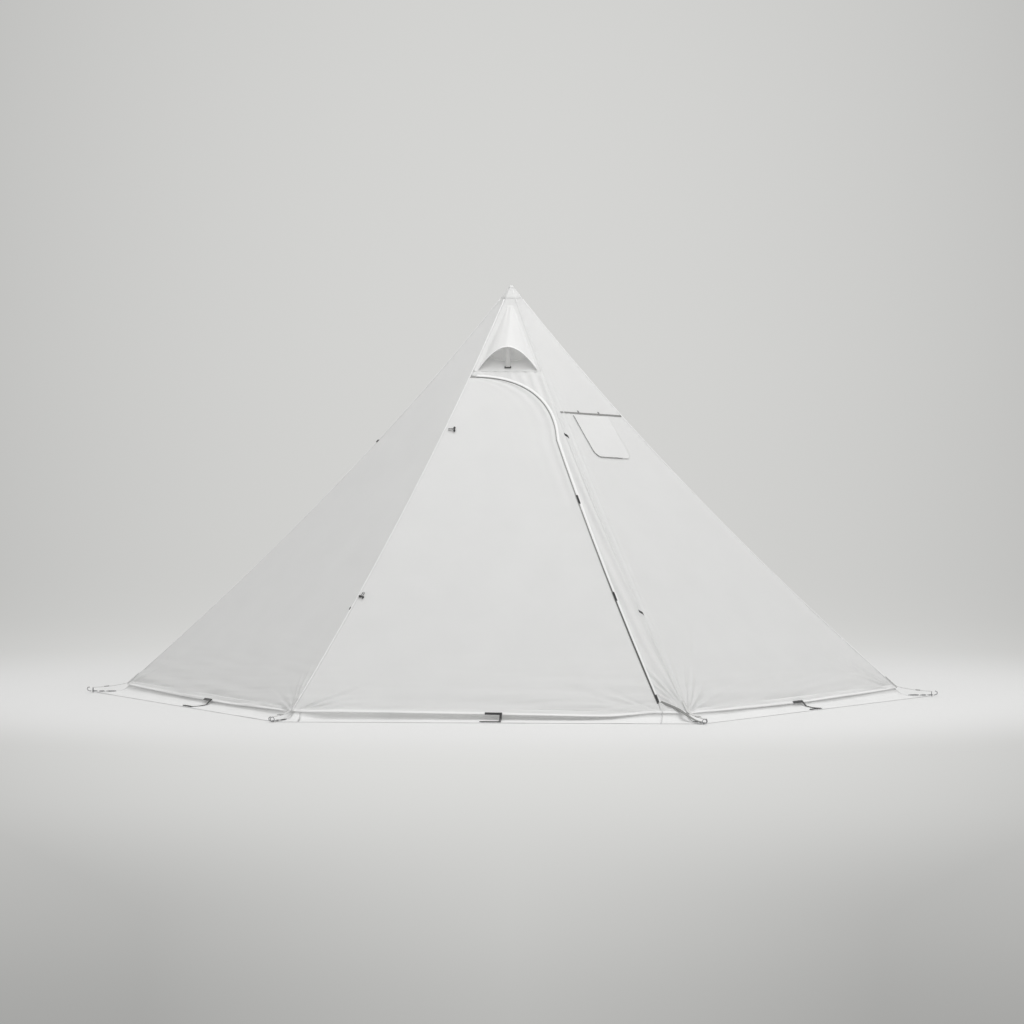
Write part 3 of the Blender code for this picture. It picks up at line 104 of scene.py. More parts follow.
def drop(height):
    return (APEX_HEIGHT - height) / DROP_RANGE


def sagged_radius(height):
    share = drop(height)
    return CORNER_RADIUS * share - RIDGE_SAG * 4 * share * (1 - share)


def ridge_radius(height):
    row = min(max(int((height - HEM_HEIGHT) / BAND), 0), WALL_ROWS - 1)
    low = HEM_HEIGHT + BAND * row
    return between(sagged_radius(low), sagged_radius(low + BAND), (height - low) / BAND)


def apothem(height):
    return ridge_radius(height) * cos(radians(30))


def half_width(height):
    return ridge_radius(height) * 0.5


def slant(height):
    growth = CORNER_RADIUS - RIDGE_SAG * 4 * (1 - 2 * drop(height))
    return growth * cos(radians(30)) / DROP_RANGE


def slope_length(height):
    return hypot(1, slant(height))


def outwards(angle):
    turn = radians(angle)
    return Vector((cos(turn), sin(turn), 0))


def sideways(angle):
    turn = radians(angle)
    return Vector((-sin(turn), cos(turn), 0))


def upright(height):
    return Vector((0, 0, height))


def face_normal(side, height):
    return (outwards(side) + upright(slant(height))).normalized()


def on_face(side, across, height, out=0.0):
    share = clamp(drop(height))
    bow = FACE_BOW * sin(pi * share) ** 2 * max(0, 1 - (across / half_width(height)) ** 2)
    place = outwards(side) * (apothem(height) - bow) + sideways(side) * across + upright(height)
    return place + face_normal(side, height) * out


def even(start, end, count):
    return [between(start, end, step / count) for step in range(count + 1)]


HEM_HALF = half_width(HEM_HEIGHT)
SPRING = DOOR_TOP_HEIGHT - DOOR_ARCH_RISE
ARCH_START = radians(7)
SHOULDER = SPRING + DOOR_ARCH_RISE * sin(ARCH_START) ** (2 / ARCH_POWER)


def zip_across(height):
    """The zip's place across the front face below the shoulder."""
    taper = (STRIP_BOTTOM_WIDTH - STRIP_TOP_WIDTH) / (SHOULDER - HEM_HEIGHT)
    return half_width(height) - STRIP_BOTTOM_WIDTH + taper * (height - HEM_HEIGHT)


def zip_line():
    """The middle of the zip, from the hem up round the shoulder to the front left ridge."""
    left = -half_width(DOOR_TOP_HEIGHT)
    power = 2 / ARCH_POWER
    span = (half_width(SHOULDER) - STRIP_TOP_WIDTH - left) / cos(ARCH_START) ** power

    def arch_point(angle):
        return left + span * cos(angle) ** power, SPRING + DOOR_ARCH_RISE * sin(angle) ** power
    arch = [arch_point(radians(degrees)) for degrees in even(7, 88, 40)]
    straight = [(zip_across(height), height) for height in even(HEM_HEIGHT, arch[0][1] - 0.02, 60)]
    return straight + arch


def beside(line, distance):
    """The line moved sideways on the cloth, to the right of its way up."""
    moved = []
    for index, (across, height) in enumerate(line):
        before = line[max(index - 1, 0)]
        after = line[min(index + 1, len(line) - 1)]
        stretch = slope_length(height)
        along = Vector((after[0] - before[0], (after[1] - before[1]) * stretch)).normalized()
        moved.append((across + along.y * distance, height - along.x * distance / stretch))
    return moved


ZIP = zip_line()


def zip_reach(height, above):
    """Across value of the door's edge at a height, and another value above the door."""
    for first, second in zip(ZIP, ZIP[1:]):
        if first[1] <= height <= second[1]:
            return between(first[0], second[0], (height - first[1]) / (second[1] - first[1]))
    return above


# Wrinkles: metres out of the cloth

def waves(x, y, z):
    """Smooth noise between -1 and 1."""
    return noise.noise(Vector((x, y, z)))


def make_creases(seed, count, low, high, longest, deepest):
    """Ridges and valleys that run out from a stake: direction, length, width, depth and bend of each."""
    pick = random.Random(seed)
    made = []
    for number in range(count):
        angle = radians(between(low, high, (number + pick.uniform(0.15, 0.85)) / count))
        made.append((angle, longest * pick.uniform(0.35, 1.0), pick.uniform(0.004, 0.0085),
                     deepest * pick.uniform(0.5, 1.0) * (1 if number % 2 else -0.8),
                     pick.uniform(-0.25, 0.25)))
    return made


def crease_lift(dx, dy, creases):
    """Lift of the cloth at a distance across and up from the stake that the creases run to."""
    reach = hypot(dx, dy)
    if reach > 0.9 or reach < 1e-6:
        return 0.0
    angle = atan2(dy, dx)
    out = 0.0
    for aim, length, width, depth, bend in creases:
        apart = angle - aim - bend * reach
        along = reach * cos(apart)
        if 0 < along < length:
            off = reach * sin(apart) / (width * (0.55 + 3.4 * reach))
            if abs(off) < 3:
                out += depth * exp(-off * off) * smooth(along / 0.03) * (1 - smooth(along / length))
    return out


def hem_waves(across, rise, seed, scale):
    """Long shallow waves that lie along the hem."""
    if rise > 0.6:
        return 0.0
    fade = exp(-rise / (0.10 * scale))
    lift = waves(across * 1.9, rise * 26 + across * 1.3, seed)
    lift += 0.55 * waves(across * 4.4, rise * 50 - across * 3.0, seed + 5)
    return lift * fade * smooth(rise / 0.012 + 0.15)


def hem_sag(side, across, height):
    """How far the hem hangs below the line between its stakes. The front's is lowest near the zip."""
    if side == FRONT:
        run = clamp((across + HEM_HALF) / (HEM_HALF + zip_across(HEM_HEIGHT)))
        depth = 0.017 * run ** 1.1 * (1 - smooth((run - 0.84) / 0.15))
    else:
        depth = 0.010 * max(0.0, 1 - (across / HEM_HALF) ** 2)
    return depth * exp(-(height - HEM_HEIGHT) * slope_length(height) / 0.09)


STAKE_CREASES = {
    "front_left": (make_creases(11, 7, 4, 70, 0.36, 0.0056), make_creases(12, 12, 3, 86, 0.50, 0.0088)),
    "front_right": (make_creases(21, 15, 8, 90, 0.86, 0.0074), make_creases(22, 8, 2, 44, 0.60, 0.0058)),
    "door": (make_creases(61, 7, 4, 36, 0.46, 0.0066), make_creases(62, 9, 2, 30, 0.66, 0.0062)),
}
for seed, name in ((31, "back_right"), (41, "back"), (51, "back_left")):
    STAKE_CREASES[name] = [make_creases(pick, 8, 3, 80, 0.38, 0.0040) for pick in (seed, seed + 1)]


def wall_wrinkles(name, across, height, seed):
    half = half_width(height)
    rise = (height - HEM_HEIGHT) * slope_length(height)
    left, right = STAKE_CREASES[name]
    out = crease_lift(across + HEM_HALF, rise, left) + crease_lift(HEM_HALF - across, rise, right)
    out += (0.0092 if name == "front_left" else 0.0070) * hem_waves(across, rise, seed, 1.2)
    out += 0.0022 * waves(across * 2.2, rise * 1.5, seed + 11)
    out += 0.0007 * waves(across * 7 + rise * 5, rise * 3 - across * 4, seed + 17)
    if name == "front_right":
        aside = half + across
        part = smooth((rise - 0.25) / 0.35) * smooth((1.75 - rise) / 0.4)
        part *= exp(-((aside - 0.03) / 0.05) ** 2)
        out += 0.0016 * part * sin(aside * 190 + 1.4 * sin(rise * 4.1))
    return out * smooth((half - abs(across)) / 0.016)


def put(target, **settings):
    """Sets attributes of a Blender object or modifier."""
    for name, value in settings.items():
        setattr(target, name, value)
    return target


def new_object(name, data):
    made = bpy.data.objects.new(name, data)
    bpy.context.scene.collection.objects.link(made)
    return made


def new_mesh(name, points, faces):
    mesh = bpy.data.meshes.new(name)
    mesh.from_pydata(points, [], faces)
    mesh.update()
    mesh.shade_smooth()
    return mesh


def sheet_mesh(name, columns, rows, place):
    """A grid of points laid out by a place function of (u, v)."""
    wide = columns + 1
    points = [place(column / columns, row / rows) for row in range(rows + 1) for column in range(wide)]
    faces = [(first, first + 1, first + wide + 1, first + wide)
             for row in range(rows) for first in range(row * wide, row * wide + columns)]
    mesh = new_mesh(name, points, faces)
    layer = mesh.uv_layers.new(name="Cloth")
    for face in mesh.polygons:
        for loop, vert in zip(face.loop_indices, face.vertices):
            layer.data[loop].uv = ((vert % wide) / columns, (vert // wide) / rows)
    return mesh


def ring_faces(rings, count):
    """Quads between closed rings of count points each, one more ring of points than of quads."""
    return [(low + spot, low + count + spot, low + count + (spot + 1) % count, low + (spot + 1) % count)
            for low in range(0, rings * count, count) for spot in range(count)]


def thicken(piece, thickness, offset=-1.0):
    """Gives a sheet its thickness, inwards unless told otherwise; the canopy gets a lining."""
    solid = put(piece.modifiers.new("Thickness", "SOLIDIFY"), thickness=thickness, offset=offset,
                use_even_offset=False)
    if piece.data.materials[0] == CANOPY:
        piece.data.materials.append(LINING)
        solid.material_offset = 1


def add_piece(mesh, material, body="tent", thickness=0.0, slot=None, replaces=None):
    """A piece named as its mesh, in one material and on a body, unless that is None."""
    piece = new_object(mesh.name, mesh)
    mesh.materials.append(material)
    if body:
        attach(piece, body)
    if thickness:
        thicken(piece, thickness)
    if replaces:
        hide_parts(replaces)
    return piece


# Materials

class Graph:
    """A material made of nodes. An input is a value or another node's output."""

    def __init__(self, name, colour, roughness, metallic=0.0):
        self.material = bpy.data.materials.new(name)
        self.material.use_nodes = True
        self.nodes = self.material.node_tree.nodes
        self.shade({"Base Color": (*colour, 1.0), "Roughness": roughness, "Metallic": metallic})

    def feed(self, node, inputs):
        for key, value in inputs.items():
            if isinstance(value, bpy.types.NodeSocket):
                self.material.node_tree.links.new(value, node.inputs[key])
            else:
                node.inputs[key].default_value = value

    def shade(self, inputs):
        """Sets inputs of the main shader."""
        self.feed(self.nodes["Principled BSDF"], inputs)
        return self.material

    def add(self, kind, inputs, output=0, **settings):
        """Adds a node and gives one of its outputs."""
        node = put(self.nodes.new("ShaderNode" + kind), **settings)
        self.feed(node, inputs)
        return node.outputs[output]

    def place(self):
        return self.add("TexCoord", {}, "Object")

    def math(self, operation, *values):
        return self.add("Math", dict(enumerate(values)), operation=operation)

    def noise(self, place, scale, detail=2.0, roughness=0.5):
        return self.add("TexNoise", {"Vector": place, "Scale": scale, "Detail": detail,
                                     "Roughness": roughness}, "Fac")

    def ramp(self, value, low, high, first, second):
        """From the first colour, where the value is low, to the second, where it is high."""
        colour = self.add("ValToRGB", {"Fac": value}, "Color")
        for stop, where, shade in zip(colour.node.color_ramp.elements, (low, high), (first, second)):
            put(stop, position=where, color=(*shade, 1.0))
        return colour

    def bump(self, height, strength, distance, **under):
        return self.add("Bump", {"Height": height, "Strength": strength, "Distance": distance, **under})

    def mix(self, share, second):
        """Mixes a share of a second shader into the surface."""
        first = self.nodes["Principled BSDF"].outputs["BSDF"]
        both = self.add("MixShader", {"Fac": share, 1: first, 2: second})
        self.feed(self.nodes["Material Output"], {"Surface": both})


def pale(level, yellow=0.005):
    """A grey, a little warm."""
    return level, level, level - yellow


def cloth(name, colour, shade, weave=130.0, bump=0.25, glow=0.0):
    """Woven cloth: a fine plain weave, soft mottling, small crumples and a dry sheen."""
    graph = Graph(name, colour, 0.62)
    place = graph.place()
    crumple = graph.bump(graph.noise(place, 38.0, 4.0, 0.55), bump, 0.0016)
    threads = [graph.add("TexWave", {"Vector": place, "Scale": weave}, "Fac", bands_direction=direction)
               for direction in ("Z", "DIAGONAL")]
    graph.shade({"Base Color": graph.ramp(graph.noise(place, 6.0, 6.0), 0.3, 0.7, shade, colour),
                 "Normal": graph.bump(graph.math("MULTIPLY", *threads), 0.12, 0.0002, Normal=crumple),
                 "Sheen Weight": 0.15, "Sheen Roughness": 0.45, "Specular IOR Level": 0.3})
    if glow:
        graph.mix(glow, graph.add("BsdfTranslucent", {"Color": (*colour, 1.0)}))
    return graph.material


def webbing(name, colour, shade, scale=90.0):
    """Narrow woven webbing: slanting ribs with a fluffy grain."""
    graph = Graph(name, colour, 0.8)
    place = graph.place()
    ribs = graph.add("TexWave", {"Vector": place, "Scale": scale, "Distortion": 0.6, "Detail": 1.0}, "Fac",
                     bands_direction="DIAGONAL")
    weave = graph.math("ADD", ribs, graph.noise(place, 420.0, 3.0))
    tone = graph.ramp(graph.math("MULTIPLY", weave, 0.6), 0.35, 1.0, shade, colour)
    return graph.shade({"Base Color": tone, "Normal": graph.bump(weave, 0.5, 0.0003), "Sheen Weight": 0.3})


def plastic(name, colour, shade, roughness=0.42):
    """Moulded plastic with a fine grain and uneven gloss."""
    graph = Graph(name, colour, roughness)
    place = graph.place()
    smear = graph.noise(place, 60.0)
    gloss = graph.add("MapRange", {"Value": smear, "To Min": roughness - 0.08, "To Max": roughness + 0.1})
    return graph.shade({"Base Color": graph.ramp(smear, 0.35, 0.75, colour, shade), "Roughness": gloss,
                        "Normal": graph.bump(graph.noise(place, 900.0, 3.0), 0.15, 0.0001)})


def metal(name, colour, roughness, stretch=(1.0, 1.0, 1.0)):
    """Satin metal, drawn or brushed one way, with faint handling marks."""
    graph = Graph(name, colour, roughness, 1.0)
    place = graph.place()
    lines = graph.noise(graph.add("Mapping", {"Vector": place, "Scale": stretch}), 700.0, 3.0)
    gloss = graph.add("MapRange", {"Value": graph.noise(place, 25.0), "To Min": roughness - 0.07,
                                   "To Max": roughness + 0.14})
    return graph.shade({"Base Color": graph.ramp(lines, 0.3, 0.8, [part * 0.88 for part in colour], colour),
                        "Roughness": gloss, "Normal": graph.bump(lines, 0.12, 0.0001)})


NET_PITCH = 0.0008
NET_THREAD = 0.00048
NET_SLOPE = 36


def net_material():
    """Fine insect net: pale threads with small open holes."""
    graph = Graph("insect_net", pale(0.84), 0.8)
    turned = graph.add("Mapping", {"Vector": graph.place(), "Rotation": (radians(-NET_SLOPE), 0, 0)})
    parts = graph.add("SeparateXYZ", {"Vector": turned}).node.outputs
    threads = [graph.math("LESS_THAN", graph.math("PINGPONG", parts[axis], NET_PITCH), NET_THREAD)
               for axis in ("X", "Z")]
    return graph.shade({"Alpha": graph.math("MAXIMUM", *threads)})


CANOPY = cloth("canopy_cloth", pale(0.92), pale(0.895), glow=0.33)
LINING = cloth("canopy_inside", pale(0.95), pale(0.93), glow=0.88)
SKIRT_CLOTH = cloth("skirt_cloth", pale(0.86), pale(0.83))
TAPE_CLOTH = cloth("seam_tape_cloth", pale(0.87), pale(0.84), 180.0, 0.12)
RIDGE_CLOTH = cloth("ridge_tape_cloth", pale(0.80), pale(0.77), 180.0, 0.12)
HEAT = cloth("heat_proof_cloth", pale(0.40, 0.01), pale(0.33), 90.0, 0.3)
BLACK_WEB = webbing("black_webbing", (0.045, 0.045, 0.047), (0.02, 0.02, 0.021))
GREY_WEB = webbing("grey_webbing", pale(0.30, 0.01), pale(0.17))
PALE_WEB = webbing("pale_webbing", pale(0.74, 0.01), pale(0.54, 0.01))
ZIP_TAPE = webbing("zip_tape_cloth", pale(0.62, 0.01), pale(0.50, 0.01), 150.0)
BLACK_PLASTIC = plastic("black_plastic", (0.022, 0.022, 0.023), (0.04, 0.04, 0.04))
GREY_PLASTIC = plastic("grey_plastic", pale(0.42), pale(0.36), 0.45)
ZIP_PLASTIC = plastic("zip_coil", (0.055, 0.055, 0.056), (0.085, 0.085, 0.085), 0.5)
ALUMINIUM = metal("satin_aluminium", (0.72, 0.72, 0.74), 0.34, (1.0, 1.0, 0.02))
PEG_METAL = metal("peg_metal", (0.30, 0.30, 0.31), 0.36)
RING_METAL = metal("ring_metal", (0.34, 0.34, 0.35), 0.36)
RUBBER = plastic("black_rubber", (0.03, 0.03, 0.03), (0.05, 0.05, 0.048), 0.8)
NET = net_material()


# Canopy panels

STEP = 0.011
TYPICAL_SLOPE = 1.35        # metres along the cloth for each metre up, near enough for the rows


def row_step(height):
    """Rows lie closer near the hem, where the creases are."""
    rise = (height - HEM_HEIGHT) * TYPICAL_SLOPE
    return STEP * (0.5 + 0.5 * smooth((rise - 0.08) / 0.15) + 0.9 * smooth((rise - 0.35) / 0.4))


def bend_rows(low, high):
    """Heights from low to high, closer near the hem."""
    heights = [low]
    while heights[-1] < high - 1e-9:
        heights.append(heights[-1] + row_step(heights[-1]) / TYPICAL_SLOPE)
    stretch = (high - low) / (heights[-1] - low)
    return [low + (height - low) * stretch for height in heights]


def graded(width):
    """Shares from 0 to 1 across a panel, closer near both edges."""
    places = [0.0]
    while places[-1] < width / 2:
        places.append(places[-1] + STEP * (0.5 + 0.7 * smooth((places[-1] - 0.08) / 0.25)))
    left = [place / places[-1] / 2 for place in places]
    return left + [1 - share for share in reversed(left[:-1])]


def on_cloth(side, across, height, wrinkle, lift=0.0):
    """A place on the hanging, wrinkled cloth."""
    return on_face(side, across, height - hem_sag(side, across, height), wrinkle(across, height) + lift)


def wall_panel(name, side, node, rows, wrinkle, shares, body="tent"):
    """A cloth panel from its rows of (left, right, height), lifted by its wrinkles."""
    last = len(rows) - 1
    columns = len(shares) - 1

    def place(u, v):
        left, right, height = rows[round(v * last)]
        return on_cloth(side, between(left, right, shares[round(u * columns)]), height, wrinkle)
    piece = add_piece(sheet_mesh(name, columns, last, place), CANOPY, body, CLOTH, "canopy", node)
    for (l0, r0, h0), (l1, r1, h1) in zip(rows, rows[1:]):
        part = (h1 - h0) * slope_length((h0 + h1) / 2)


def side_wrinkle(name):
    """The wrinkles of a plain wall, as a function of across and height."""
    seed = list(PLAIN_SIDES).index(name) * 13.7 + 2
    return lambda across, height: wall_wrinkles(name, across, height, seed)


def make_walls():
    rows = [(-half_width(h), half_width(h), h) for h in bend_rows(HEM_HEIGHT, WALL_TOP)]
    for name, side in PLAIN_SIDES.items():
        wall_panel("cloth_" + name, side, "wall_" + name, rows, side_wrinkle(name), graded(1.6))


make_walls()


# Front face: door, frame and vent panel

ZIP_HALF = 0.0046
ZIP_FOOT = 0.070


def cloth_edge(sign):
    """The cloth's edge beside the zip; below the zip's foot the two edges nearly meet."""
    line = beside(ZIP, sign * ZIP_HALF)
    low = [(zip_across(height) + sign * 0.0006, height) for height in even(HEM_HEIGHT, ZIP_FOOT - 0.002, 6)]
    return low + [point for point in line if point[1] > ZIP_FOOT + 0.001]


DOOR_EDGE = cloth_edge(-1)
FRAME_EDGE = cloth_edge(1)


def rising(line):
    """The line's points whose height keeps growing."""
    kept = [line[0]]
    for point in line[1:]:
        if point[1] > kept[-1][1] + 1e-5:
            kept.append(point)
    return kept


def refine(rows):
    """Rows of (left, right, height) with more put between, so that none is taller than a step."""
    made = [rows[0]]
    for first, second in zip(rows, rows[1:]):
        count = max(1, ceil((second[2] - first[2]) * 1.3 / row_step(first[2])))
        made += [mixed(first, second, part / count) for part in range(1, count + 1)]
    return made


def door_wrinkle(across, height):
    rise = (height - HEM_HEIGHT) * slope_length(height)
    left, right = STAKE_CREASES["door"]
    out = crease_lift(across + HEM_HALF, rise, left)
    out += crease_lift(zip_across(HEM_HEIGHT) - across, rise, right)
    out += 0.0074 * hem_waves(across, rise, 43.0, 1.1) * (0.6 + 0.6 * smooth((across + 0.3) / 0.7))
    out += 0.0020 * waves(across * 2.0, rise * 1.6, 47.0)
    out += 0.0006 * waves(across * 7 + rise * 5, rise * 3 - across * 4, 49.0)
    edge = zip_reach(height, 0.4) - across
    pull = 0.0030 * sin(edge * 120 + 2.2 * waves(rise * 1.7, 0, 3)) * exp(-edge / 0.04)
    out += pull * smooth((height - 0.75) / 0.2)
    return out * smooth(min(edge / 0.02, (across + half_width(height)) / 0.016))


def frame_wrinkle(across, height):
    """Long folds that run up the strip between the zip and the ridge."""
    half = half_width(height)
    right = half - across
    rise = (height - HEM_HEIGHT) * slope_length(height)
    out = 0.0030 * sin(right * 150 + 3.0 * waves(rise * 1.3, 1.0, 0.0))
    out *= 0.6 + 0.9 * waves(rise * 2.4, right * 8, 7.0)
    out += 0.0016 * waves(across * 9, rise * 7, 8.0)
    out += crease_lift(right, rise, STAKE_CREASES["front_right"][0]) * smooth(rise / 0.1)
    left = across - zip_reach(height, -half)
    return out * smooth(min(left / 0.012, right / 0.012)) * smooth(rise / 0.03)


GUSSET_PARTS = 8
GUSSET_WIDTH = 0.005


def make_gusset(top):
    """Slack cloth in strips under the left ridge, behind the seam."""
    marks = even(HEM_HEIGHT + 0.002, top - 0.002, GUSSET_PARTS)
    for part, (low, high) in enumerate(zip(marks, marks[1:])):
        def place(u, v):
            height = between(low, high, v)
            return on_face(FRONT, GUSSET_WIDTH * u - half_width(height), height, -CLOTH - 0.0006)
        name = "trim_door_gusset_%d" % part
        piece = add_piece(sheet_mesh(name, 8, 16, place), TAPE_CLOTH, None, slot="canopy")
        foot, head = place(0, 0), place(0, 1)
        rise = (head - foot).normalized()
        side = sideways(FRONT)
        side = (side - rise * side.dot(rise)).normalized()
        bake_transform(piece)


def make_front():
    door_edge = rising(DOOR_EDGE)
    make_gusset(door_edge[-1][1])
    rows = refine([(-half_width(h), x, h) for x, h in door_edge])
    wall_panel("cloth_door", FRONT, "door_panel", rows, door_wrinkle, graded(1.5), "door")
    rows = [(x, half_width(h), h) for x, h in rising(FRAME_EDGE) if h < FRONT_SEAM_HEIGHT - 0.006]
    rows += [(-half_width(h), half_width(h), h) for h in even(rows[-1][2] + 0.002, FRONT_SEAM_HEIGHT, 3)]
    wall_panel("cloth_door_frame", FRONT, "wall_front_frame", refine(rows), frame_wrinkle, even(0, 1, 28))


VENT_SILL = 1.412           # where the opening is widest: an arch above, and a slight dip below
VENT_HALF_WIDTH = 0.072
VENT_RISE = 0.086
VENT_MIDDLE = 1.44


def in_vent(across, height):
    share = across / VENT_HALF_WIDTH
    if height >= VENT_SILL:
        return share ** 2 + ((height - VENT_SILL) / VENT_RISE) ** 2 < 1
    return abs(share) < 1 and height > VENT_SILL - 0.015 * (1 - share ** 2)


def in_top(across, height):
    return FRONT_SEAM_HEIGHT < height < WALL_TOP and abs(across) < half_width(height)


def leaves(test, angle):
    """Where a ray from the vent's middle leaves a region."""
    low, high = 0.0, 0.6
    for _ in range(40):
        middle = (low + high) / 2
        if test(cos(angle) * middle, VENT_MIDDLE + sin(angle) * middle):
            low = middle
        else:
            high = middle
    return low


def make_vent_panel():
    rays = 144
    rings = 22
    angles = [2 * pi * ray / rays for ray in range(rays)]
    spans = [(leaves(in_vent, angle), leaves(in_top, angle)) for angle in angles]
    points = []
    for ring in range(rings + 1):
        for angle, (inner, outer) in zip(angles, spans):
            reach = between(inner, outer, (ring / rings) ** 1.15)
            across, height = cos(angle) * reach, VENT_MIDDLE + sin(angle) * reach
            near = min((half_width(height) - abs(across)) / 0.02, (reach - inner) / 0.02, 1)
            points.append(on_face(FRONT, across, height,
                                  0.0012 * waves(across * 12, height * 9, 2.0) * smooth(near)))
    mesh = new_mesh("cloth_vent_panel", points, ring_faces(rings, rays))
    piece = add_piece(mesh, CANOPY, "tent", CLOTH, "canopy", "wall_front_top")
    # Bound edge of the opening
    loops = []
    for wide, tall, lift in ((0, 0, 0), (0.007, 0.006, 0.0007)):
        for angle, (inner, outer) in zip(angles, spans):
            height = VENT_MIDDLE + sin(angle) * (inner + tall)
            loops.append(on_face(FRONT, cos(angle) * (inner + wide), height, lift))
    ring = add_piece(new_mesh("trim_vent_ring", loops, ring_faces(1, rays)), TAPE_CLOTH)
    thicken(ring, 0.0009, 0.0)


make_front()
make_vent_panel()


# Vent hood and net

def hood_place(s, v, inside=0.0):
    """A place on the hood: s runs from -1 to 1 across it, and v from its lip to its peak."""
    half = between(HOOD_HALF_WIDTH, HOOD_PEAK_HALF_WIDTH, v)
    lip = HOOD_SILL_HEIGHT + HOOD_ARCH_RISE * (1 - s * s)
    arch = 1 - abs(s) ** 1.7
    out = 0.0019 + HOOD_LIFT * arch * (1 - v) ** 1.15
    return on_face(FRONT, s * half, between(lip, HOOD_PEAK_HEIGHT, v), out - inside)


NET_LOW, NET_HIGH = 1.385, 1.510


def make_hood():
    columns = 96
    rows = 72

    def wrinkled(u, v):
        s = 2 * u - 1
        middle = (1 - abs(s)) ** 0.5
        fold = 0.0013 * sin(s * 9 + 1.2 + 1.6 * waves(v * 2, s, 1)) * middle
        fold += 0.0011 * waves(s * 4, v * 5, 9.0) * middle
        fold *= smooth(v / 0.06) * smooth((1 - v) / 0.1)
        return hood_place(s, v) + face_normal(FRONT, 1.45) * fold
    piece = add_piece(sheet_mesh("cloth_vent_hood", columns, rows, wrinkled), CANOPY, "tent", CLOTH, "canopy",
                      "vent_hood")

    def hem(u, v):
        return hood_place(2 * u - 1, v * 0.045, -0.0008)
    add_piece(sheet_mesh("trim_hood_lip", columns, 3, hem), RIDGE_CLOTH, "tent", 0.0012, "tape")
    for number, sign in enumerate((-1, 1)):
        def side(u, v):
            return hood_place(sign * between(0.93, 1.0, u if sign > 0 else 1 - u), v, -0.0006)
        add_piece(sheet_mesh("trim_hood_side_%d" % number, 2, rows, side), TAPE_CLOTH, "tent", 0.0008, "tape")

    def net(u, v):
        height = between(NET_LOW, NET_HIGH, v)
        half = min(0.084, half_width(height) - 0.012)
        return on_face(FRONT, half * (2 * u - 1), height, -0.0028)
    piece = add_piece(sheet_mesh("net_vent", 20, 14, net), NET, slot="net", replaces="vent_mesh")


make_hood()


# Trims on the cloth

def panel_strip(name, side, lefts, rights, lift, material, thickness, body="tent", wrinkle=None,
                slot="tape", replaces=None):
    """A strip of tape between two lines of (across, height) points, lying on the wrinkled cloth."""
    last = len(lefts) - 1

    def place(u, v):
        row = round(v * last)
        across, height = mixed(lefts[row], rights[row], u)
        if wrinkle:
            return on_cloth(side, across, height, wrinkle, lift)
        return on_face(side, across, height, lift)
    add_piece(sheet_mesh(name, 3, last, place), material, body, thickness, slot, replaces)


def make_bindings():
    wide = 0.010 / slope_length(HEM_HEIGHT)
    end = HEM_HALF - 0.002
    sides = [(name, side, -end, end, side_wrinkle(name), "tent") for name, side in PLAIN_SIDES.items()]
    sides.append(("door", FRONT, -end, DOOR_EDGE[0][0], door_wrinkle, "door"))
    sides.append(("door_frame", FRONT, FRAME_EDGE[0][0], end, frame_wrinkle, "tent"))
    for name, side, left, right, wrinkle, body in sides:
        lines = even(left, right, max(6, round((right - left) / (STEP * 0.7))))
        head = [(across, HEM_HEIGHT + wide) for across in lines]
        foot = [(across, HEM_HEIGHT - 0.0004) for across in lines]
        panel_strip("trim_hem_" + name, side, head, foot, 0.0005, TAPE_CLOTH, 0.0016, body, wrinkle)


def on_ridge(corner, aside, height, lift):
    """A place beside a ridge, on the face to its left or right, or on the ridge where aside is 0."""
    if abs(aside) < 1e-6:
        left, right = face_normal(corner - 30, height), face_normal(corner + 30, height)
        spot = outwards(corner) * ridge_radius(height) + upright(height)
        return spot + (left + right) * (lift / (1 + left.dot(right)))
    if aside < 0:
        return on_face(corner - 30, half_width(height) + aside, height, lift)
    return on_face(corner + 30, aside - half_width(height), height, lift)


RIDGE_ASIDES = (-0.0065, -0.0035, 0.0, 0.0035, 0.0065)
WELT_ASIDES = (-0.0085, -0.0072, -0.0056, -0.0038, -0.0020, -0.0006)


def make_ridge_tapes():
    """Flat tapes over the ridges; the front left one is a welt beside its ridge."""
    heights = even(HEM_HEIGHT + 0.001, APEX_HEIGHT - 0.060, 150)
    for name, corner in CORNERS.items():
        welt = name == "front_left"
        asides = WELT_ASIDES if welt else RIDGE_ASIDES

        def place(u, v):
            aside = asides[round(u * (len(asides) - 1))]
            lift = (0.0008 if aside else 0.0010) + (0.0024 * sin(pi * u) if welt else 0.0)
            return on_ridge(corner, aside, heights[round(v * (len(heights) - 1))], lift)
        mesh = sheet_mesh("trim_ridge_" + name, len(asides) - 1, len(heights) - 1, place)
        # The front left tape is the brighter seam tape, a painted highlight along its welt, whose raised
        # shape is real; the front right one is canopy cloth and the others the darker ridge tape
        material = {"front_left": TAPE_CLOTH, "front_right": CANOPY}.get(name, RIDGE_CLOTH)
        add_piece(mesh, material, "tent", 0.0007, "tape", "ridge_seam_" + name)
        mesh.set_sharp_from_angle(angle=radians(25))


GUY_TABS = {"front_left": [0.425], "front_right": [1.099, 0.414], "back_right": [1.095, 0.425],
            "back_left": [1.095, 0.425], "left": [1.050]}
TAB_WIDTH = 0.016
TAB_HALF_HEIGHT = 0.0065    # along the cloth
TAB_SHIFTS = {"front_left": 0.0104}
TAB_LEANS = {"front_right": 0.013}


